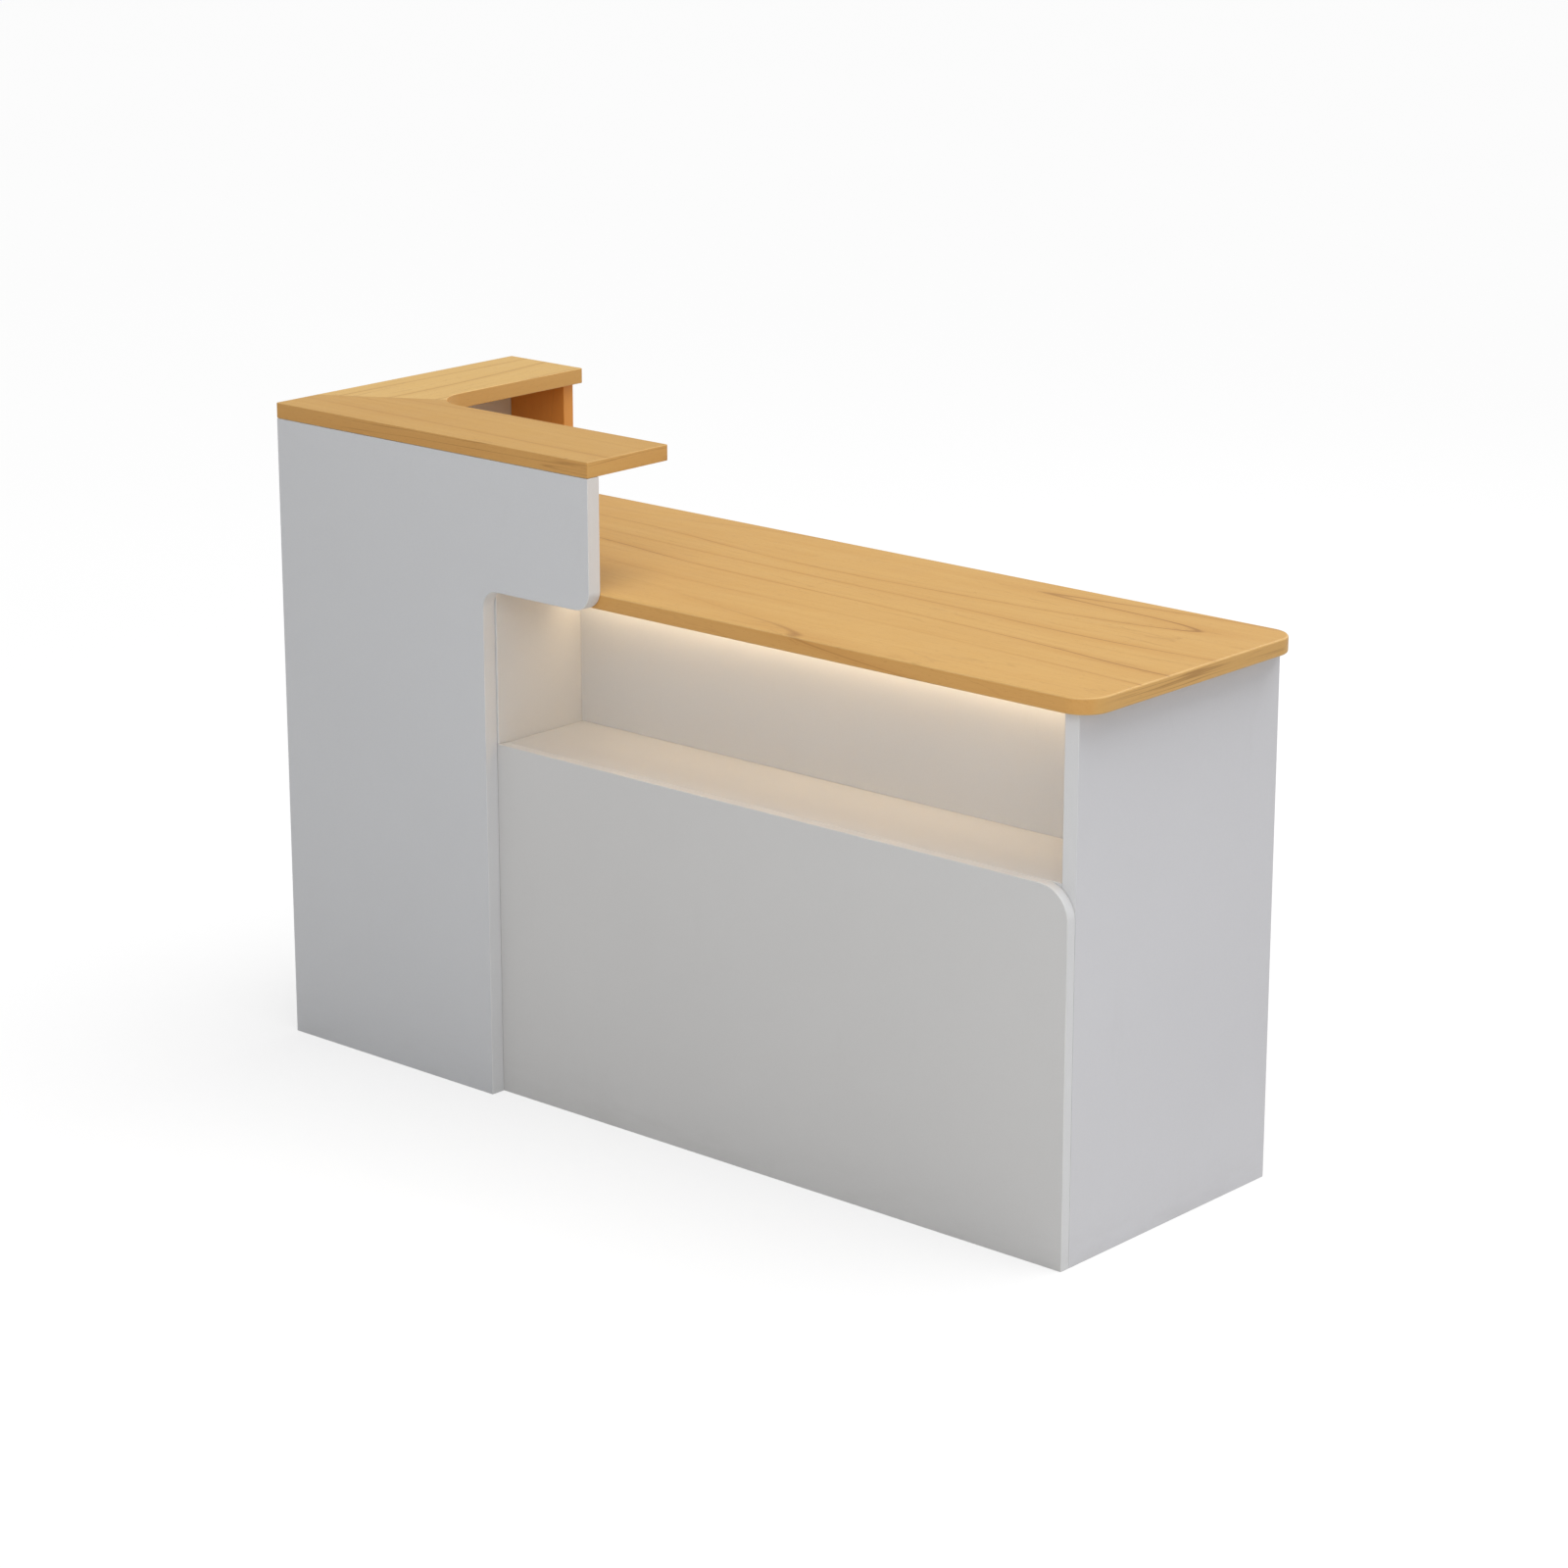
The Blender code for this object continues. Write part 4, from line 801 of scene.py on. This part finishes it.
def switch_details():
    """Fixing ears and screws of the switch housing, and a bezel round its window."""
    low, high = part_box("switch_housing")
    bm, places = bmesh.new(), []
    reach, thick, half_y, room, edge = 0.011, 0.0028, 0.006, 0.0001, 0.0008
    y = (low.y + high.y) / 2
    for x, side in ((low.x, -1), (high.x, 1)):
        ends = sorted((x + side * room, x + side * reach))
        slab(bm, (ends[0], y - half_y, high.z - thick), (ends[1], y + half_y, high.z), edge)
        places.append(((x + side * reach * 0.56, y, high.z - thick), DOWN))
    piece("switch_ears", bm, "carcass", white_plastic)
    screws("switch_screws", "carcass", SMALL_SCREW, places)
    centre = (low + high) / 2
    wide, tall, border, sunk, proud, edge = 0.0105, 0.0070, 0.0016, 0.0001, 0.0008, 0.0003
    back, front = high.y - sunk, high.y + proud
    bm = bmesh.new()
    for side in (-1, 1):
        x, z = centre.x + side * (wide + border / 2), centre.z + side * (tall + border / 2)
        slab(bm, (x - border / 2, back, centre.z - tall - border),
             (x + border / 2, front, centre.z + tall + border), edge)
        slab(bm, (centre.x - wide - border, back, z - border / 2),
             (centre.x + wide + border, front, z + border / 2), edge)
    piece("switch_bezel", bm, "carcass", black_plastic)


# ---------------------------------------------------------------- drawer, door and their fittings

HANDLE_R = 0.005               # of the handles' bars, and so of their feet
DRAWER_WALL = 0.012
COLLAR_PROFILE = [(0.0050, 0.0002), (0.0082, 0.0002), (0.0085, 0.0008), (0.0080, 0.0018),
                  (0.0060, 0.0027), (0.0050, 0.0027)]


def handle_details(node, body, material, upright, behind):
    """Tapered collars at a handle's feet, and the screws that hold it from behind."""
    low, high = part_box(node)
    centre = (low + high) / 2
    if upright:
        feet = [(centre.x, z) for z in (low.z + HANDLE_R, high.z - HANDLE_R)]
    else:
        feet = [(x, centre.z) for x in (low.x + HANDLE_R, high.x - HANDLE_R)]
    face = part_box("cabinet_door")[1].y
    bm = bmesh.new()
    for x, z in feet:
        lathe(bm, COLLAR_PROFILE, facing((x, face, z), STAFF), 32)
    piece(node + "_collars", bm, body, material)
    screws(node + "_screws", body, PAN_SCREW, [((x, behind, z), CUSTOMER) for x, z in feet])


def drawer_details():
    """Screws that hold the drawer's front, and its bottom's corner blocks."""
    low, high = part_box("till_drawer_box")
    floor_t, from_side, above_middle, size = 0.010, 0.045, 0.010, 0.016
    left, right, rear, inner_front = (low.x + DRAWER_WALL, high.x - DRAWER_WALL,
                                      low.y + DRAWER_WALL, high.y - DRAWER_WALL)
    z = (low.z + high.z) / 2 + above_middle
    screws("drawer_front_screws", "till_drawer", PAN_SCREW,
           [((x, inner_front, z), CUSTOMER) for x in (low.x + from_side, high.x - from_side)])
    section = [(0, 0), (size, 0), (size * 0.9, size * 0.25), (size * 0.25, size * 0.9), (0, size)]
    bm = bmesh.new()
    for x, y, side_x, side_y in ((left, rear, 1, 1), (right, rear, -1, 1),
                                 (left, inner_front, 1, -1), (right, inner_front, -1, -1)):
        turn = Matrix(((side_x, 0, 0, x), (0, side_y, 0, y), (0, 0, 1, low.z + floor_t),
                       (0, 0, 0, 1)))
        prism(bm, section, turn, size)
    piece("drawer_corner_blocks", bm, "till_drawer", cap_plastic)


def lock_details():
    """Chamfered ring on the lock's face, and the bolt that holds its cam."""
    face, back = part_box("lock_housing")[1].y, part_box("lock_cam")[0].y
    centre = middle("lock_housing")
    ring = [(0.0074, 0), (0.0112, 0), (0.0108, 0.0006), (0.0084, 0.0009), (0.0074, 0.0003)]
    bolt = [(0, 0), (0.0042, 0), (0.0042, 0.0005), (0.0034, 0.0006), (0.0034, 0.0022),
            (0.0028, 0.0026), (0, 0.0026)]
    bm = bmesh.new()
    lathe(bm, ring, facing((centre.x, face, centre.z), STAFF), 40)
    piece("lock_ring", bm, "till_drawer", nickel_x)
    bm = bmesh.new()
    lathe(bm, bolt, facing((centre.x, back, centre.z), CUSTOMER), 6)
    piece("cam_bolt", bm, "drawer_lock", screw_steel)


def catch_details():
    """Pole plates and screws of the magnetic catch."""
    low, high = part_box("catch_body")
    thick, depth, proud, inset, margin, edge = 0.0022, 0.006, 0.0002, 0.004, 0.0034, 0.0003
    bm = bmesh.new()
    for z in (low.z + margin, high.z - margin - thick):
        slab(bm, (low.x + inset, high.y - depth, z), (high.x - inset, high.y + proud, z + thick),
             edge)
    piece("catch_poles", bm, "carcass", steel_x)
    from_side, back = 0.008, 0.004
    y = (low.y + high.y) / 2 - back
    screws("catch_screws", "carcass", SMALL_SCREW,
           [((x, y, low.z), DOWN) for x in (low.x + from_side, high.x - from_side)])


def pivot_details():
    """Flat screws that hold the door's pivot plates."""
    plate, from_end = 0.002, 0.007
    for node, direction in (("lower_pivot", UP), ("upper_pivot", DOWN)):
        low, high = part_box(node)
        face = low.z + plate if direction is UP else high.z - plate
        screws(node + "_screws", "carcass", FLAT_SCREW,
               [((high.x - from_end, (low.y + high.y) / 2, face), direction)])


def door_stop():
    """Block that the door's free corner closes against, with a rubber pad and a screw."""
    door_low, door_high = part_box("cabinet_door")
    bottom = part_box("left_bottom_panel")[1].z
    depth, wide, tall, edge = 0.020, 0.024, 0.013, 0.0012
    pad, pad_room, foot_room, from_edge = 0.0015, 0.0006, 0.0001, 0.045
    x, top = door_high.x - from_edge, bottom + tall
    face = door_low.y - pad_room - pad
    bm = bmesh.new()
    slab(bm, (x - wide / 2, face - depth, bottom + foot_room), (x + wide / 2, face, top), edge)
    piece("door_stop", bm, "carcass", cap_plastic)
    bm = bmesh.new()
    lathe(bm, [(0, 0), (0.0042, 0), (0.0042, 0.0008), (0.0034, pad), (0, pad)],
          facing((x, face, bottom + tall * 0.62), STAFF))
    piece("door_stop_pad", bm, "carcass", grey_plastic)
    screws("door_stop_screw", "carcass", PAN_SCREW, [((x, face - depth / 2, top), UP)])


def runner_details():
    """Balls in the races of the runners' middle members."""
    ball_r, pitch, race, first, last = 0.0010, 0.011, 0.0028, 0.014, 0.130
    ball = [(0, -ball_r), (ball_r * 0.7, -ball_r * 0.7), (ball_r, 0), (ball_r * 0.7, ball_r * 0.7),
            (0, ball_r)]
    for side in ("left", "right"):
        low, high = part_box("runner_middle_" + side)
        x = (low.x + high.x) / 2
        bm = bmesh.new()
        for z in (low.z + race, high.z - race):
            y = high.y - first
            while y > high.y - last:
                lathe(bm, ball, Matrix.Translation((x, y, z)), 10)
                y -= pitch
        piece("runner_balls_" + side, bm, "runner_middles", screw_steel)


bracket_details()
worktop_angles()
fitting_caps()
plinth_seals()
channel_caps()
strip_lamps()
driver_details()
lead_bushings()
lead_clips()
switch_details()
handle_details("door_handle", "door", nickel_z, True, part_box("cabinet_door")[0].y)
handle_details("till_drawer_handle", "till_drawer", nickel_x, False,
               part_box("till_drawer_box")[1].y - DRAWER_WALL)
drawer_details()
lock_details()
catch_details()
pivot_details()
door_stop()
runner_details()


# ---------------------------------------------------------------- floor, world and lights

WHITE = rgb(1.0, 1.0, 1.0)


def floor(seen_light, bounce):
    """A large pale floor under the counter, on which the camera sees only faint shadows: a
    share of it is plain light to the camera, and the bounce is its lightness to other rays."""
    half = 30.0
    mesh = bpy.data.meshes.new("floor")
    mesh.from_pydata([(-half, -half, 0), (half, -half, 0), (half, half, 0), (-half, half, 0)],
                     [], [(0, 1, 2, 3)])
    look = Look("floor", 0.9)
    tone = look.span(look.noise(0.8, 2.0), 0.89, 0.91)
    ray = look.add("ShaderNodeLightPath").outputs["Is Camera Ray"]
    look.finish(look.shade(look.mix(ray, rgb(bounce, bounce, bounce), WHITE), tone))
    look.shader.inputs["Specular IOR Level"].default_value = 0.1
    glow = look.add("ShaderNodeEmission", {"Color": WHITE, "Strength": 1.02})
    share = look.math("MULTIPLY", ray, seen_light)
    both = look.add("ShaderNodeMixShader", {0: share, 1: look.shader.outputs[0],
                                            2: glow.outputs[0]})
    output = look.tree.nodes["Material Output"]
    look.tree.links.new(both.outputs[0], output.inputs["Surface"])
    mesh.materials.append(look.material)
    plane = bpy.data.objects.new("floor", mesh)
    bpy.context.scene.collection.objects.link(plane)


def world(seen, lit):
    """White to the camera, and a softer white as light."""
    made = bpy.data.worlds.new("studio")
    made.use_nodes = True
    nodes, links = made.node_tree.nodes, made.node_tree.links
    background = nodes["Background"]
    background.inputs["Color"].default_value = WHITE
    ray = nodes.new("ShaderNodeLightPath")
    pick = nodes.new("ShaderNodeMapRange")
    pick.inputs["To Min"].default_value = lit
    pick.inputs["To Max"].default_value = seen
    links.new(ray.outputs["Is Camera Ray"], pick.inputs["Value"])
    links.new(pick.outputs["Result"], background.inputs["Strength"])
    bpy.context.scene.world = made


def area_light(name, place, target, size, power, colour=(1.0, 1.0, 1.0)):
    """A soft rectangular lamp that shines at the target."""
    data = bpy.data.lights.new(name, "AREA")
    data.shape = "RECTANGLE"
    data.size, data.size_y = size
    data.energy = power
    data.color = colour
    lamp = bpy.data.objects.new(name, data)
    lamp.location = place
    aim = Vector(target) - Vector(place)
    lamp.rotation_euler = aim.to_track_quat("-Z", "Y").to_euler()
    bpy.context.scene.collection.objects.link(lamp)


def sun(name, towards, strength, angle):
    """An even light from far away, soft by its width."""
    data = bpy.data.lights.new(name, "SUN")
    data.energy = strength
    data.angle = math.radians(angle)
    lamp = bpy.data.objects.new(name, data)
    lamp.rotation_euler = Vector(towards).to_track_quat("-Z", "Y").to_euler()
    bpy.context.scene.collection.objects.link(lamp)


floor(seen_light=0.65, bounce=0.7)
world(seen=1.0, lit=0.42)
sun("sky_window", towards=(-0.28, -0.20, -1.0), strength=1.9, angle=50.0)
area_light("key", place=(1.3, -2.4, 2.9), target=(0.0, -0.1, 0.8), size=(2.2, 2.2), power=25.0)
area_light("side", place=(2.3, -2.0, 1.7), target=(0.6, 0.0, 0.7), size=(1.6, 1.6), power=8.0,
           colour=(0.96, 0.98, 1.0))
area_light("back", place=(0.3, 3.2, 3.0), target=(-0.1, 0.1, 0.6), size=(2.4, 2.4), power=34.0)

# The lamp of the niche is as long as the opal cover, hangs just below it, and leans to the wall
LAMP_DROP = 0.003
LAMP_LEAN = Vector((0.0, 1.0, -1.5))
LAMP_END_ROOM, LAMP_SIDE_ROOM = 0.010, 0.006
cover_low, cover_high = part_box("led_diffuser")
lamp_place = Vector(((cover_low.x + cover_high.x) / 2, (cover_low.y + cover_high.y) / 2,
                     cover_low.z - LAMP_DROP))
area_light("niche_lamp", place=lamp_place, target=lamp_place + LAMP_LEAN,
           size=(cover_high.x - cover_low.x - LAMP_END_ROOM,
                 cover_high.y - cover_low.y - LAMP_SIDE_ROOM),
           power=0.62, colour=(1.0, 0.77, 0.48))
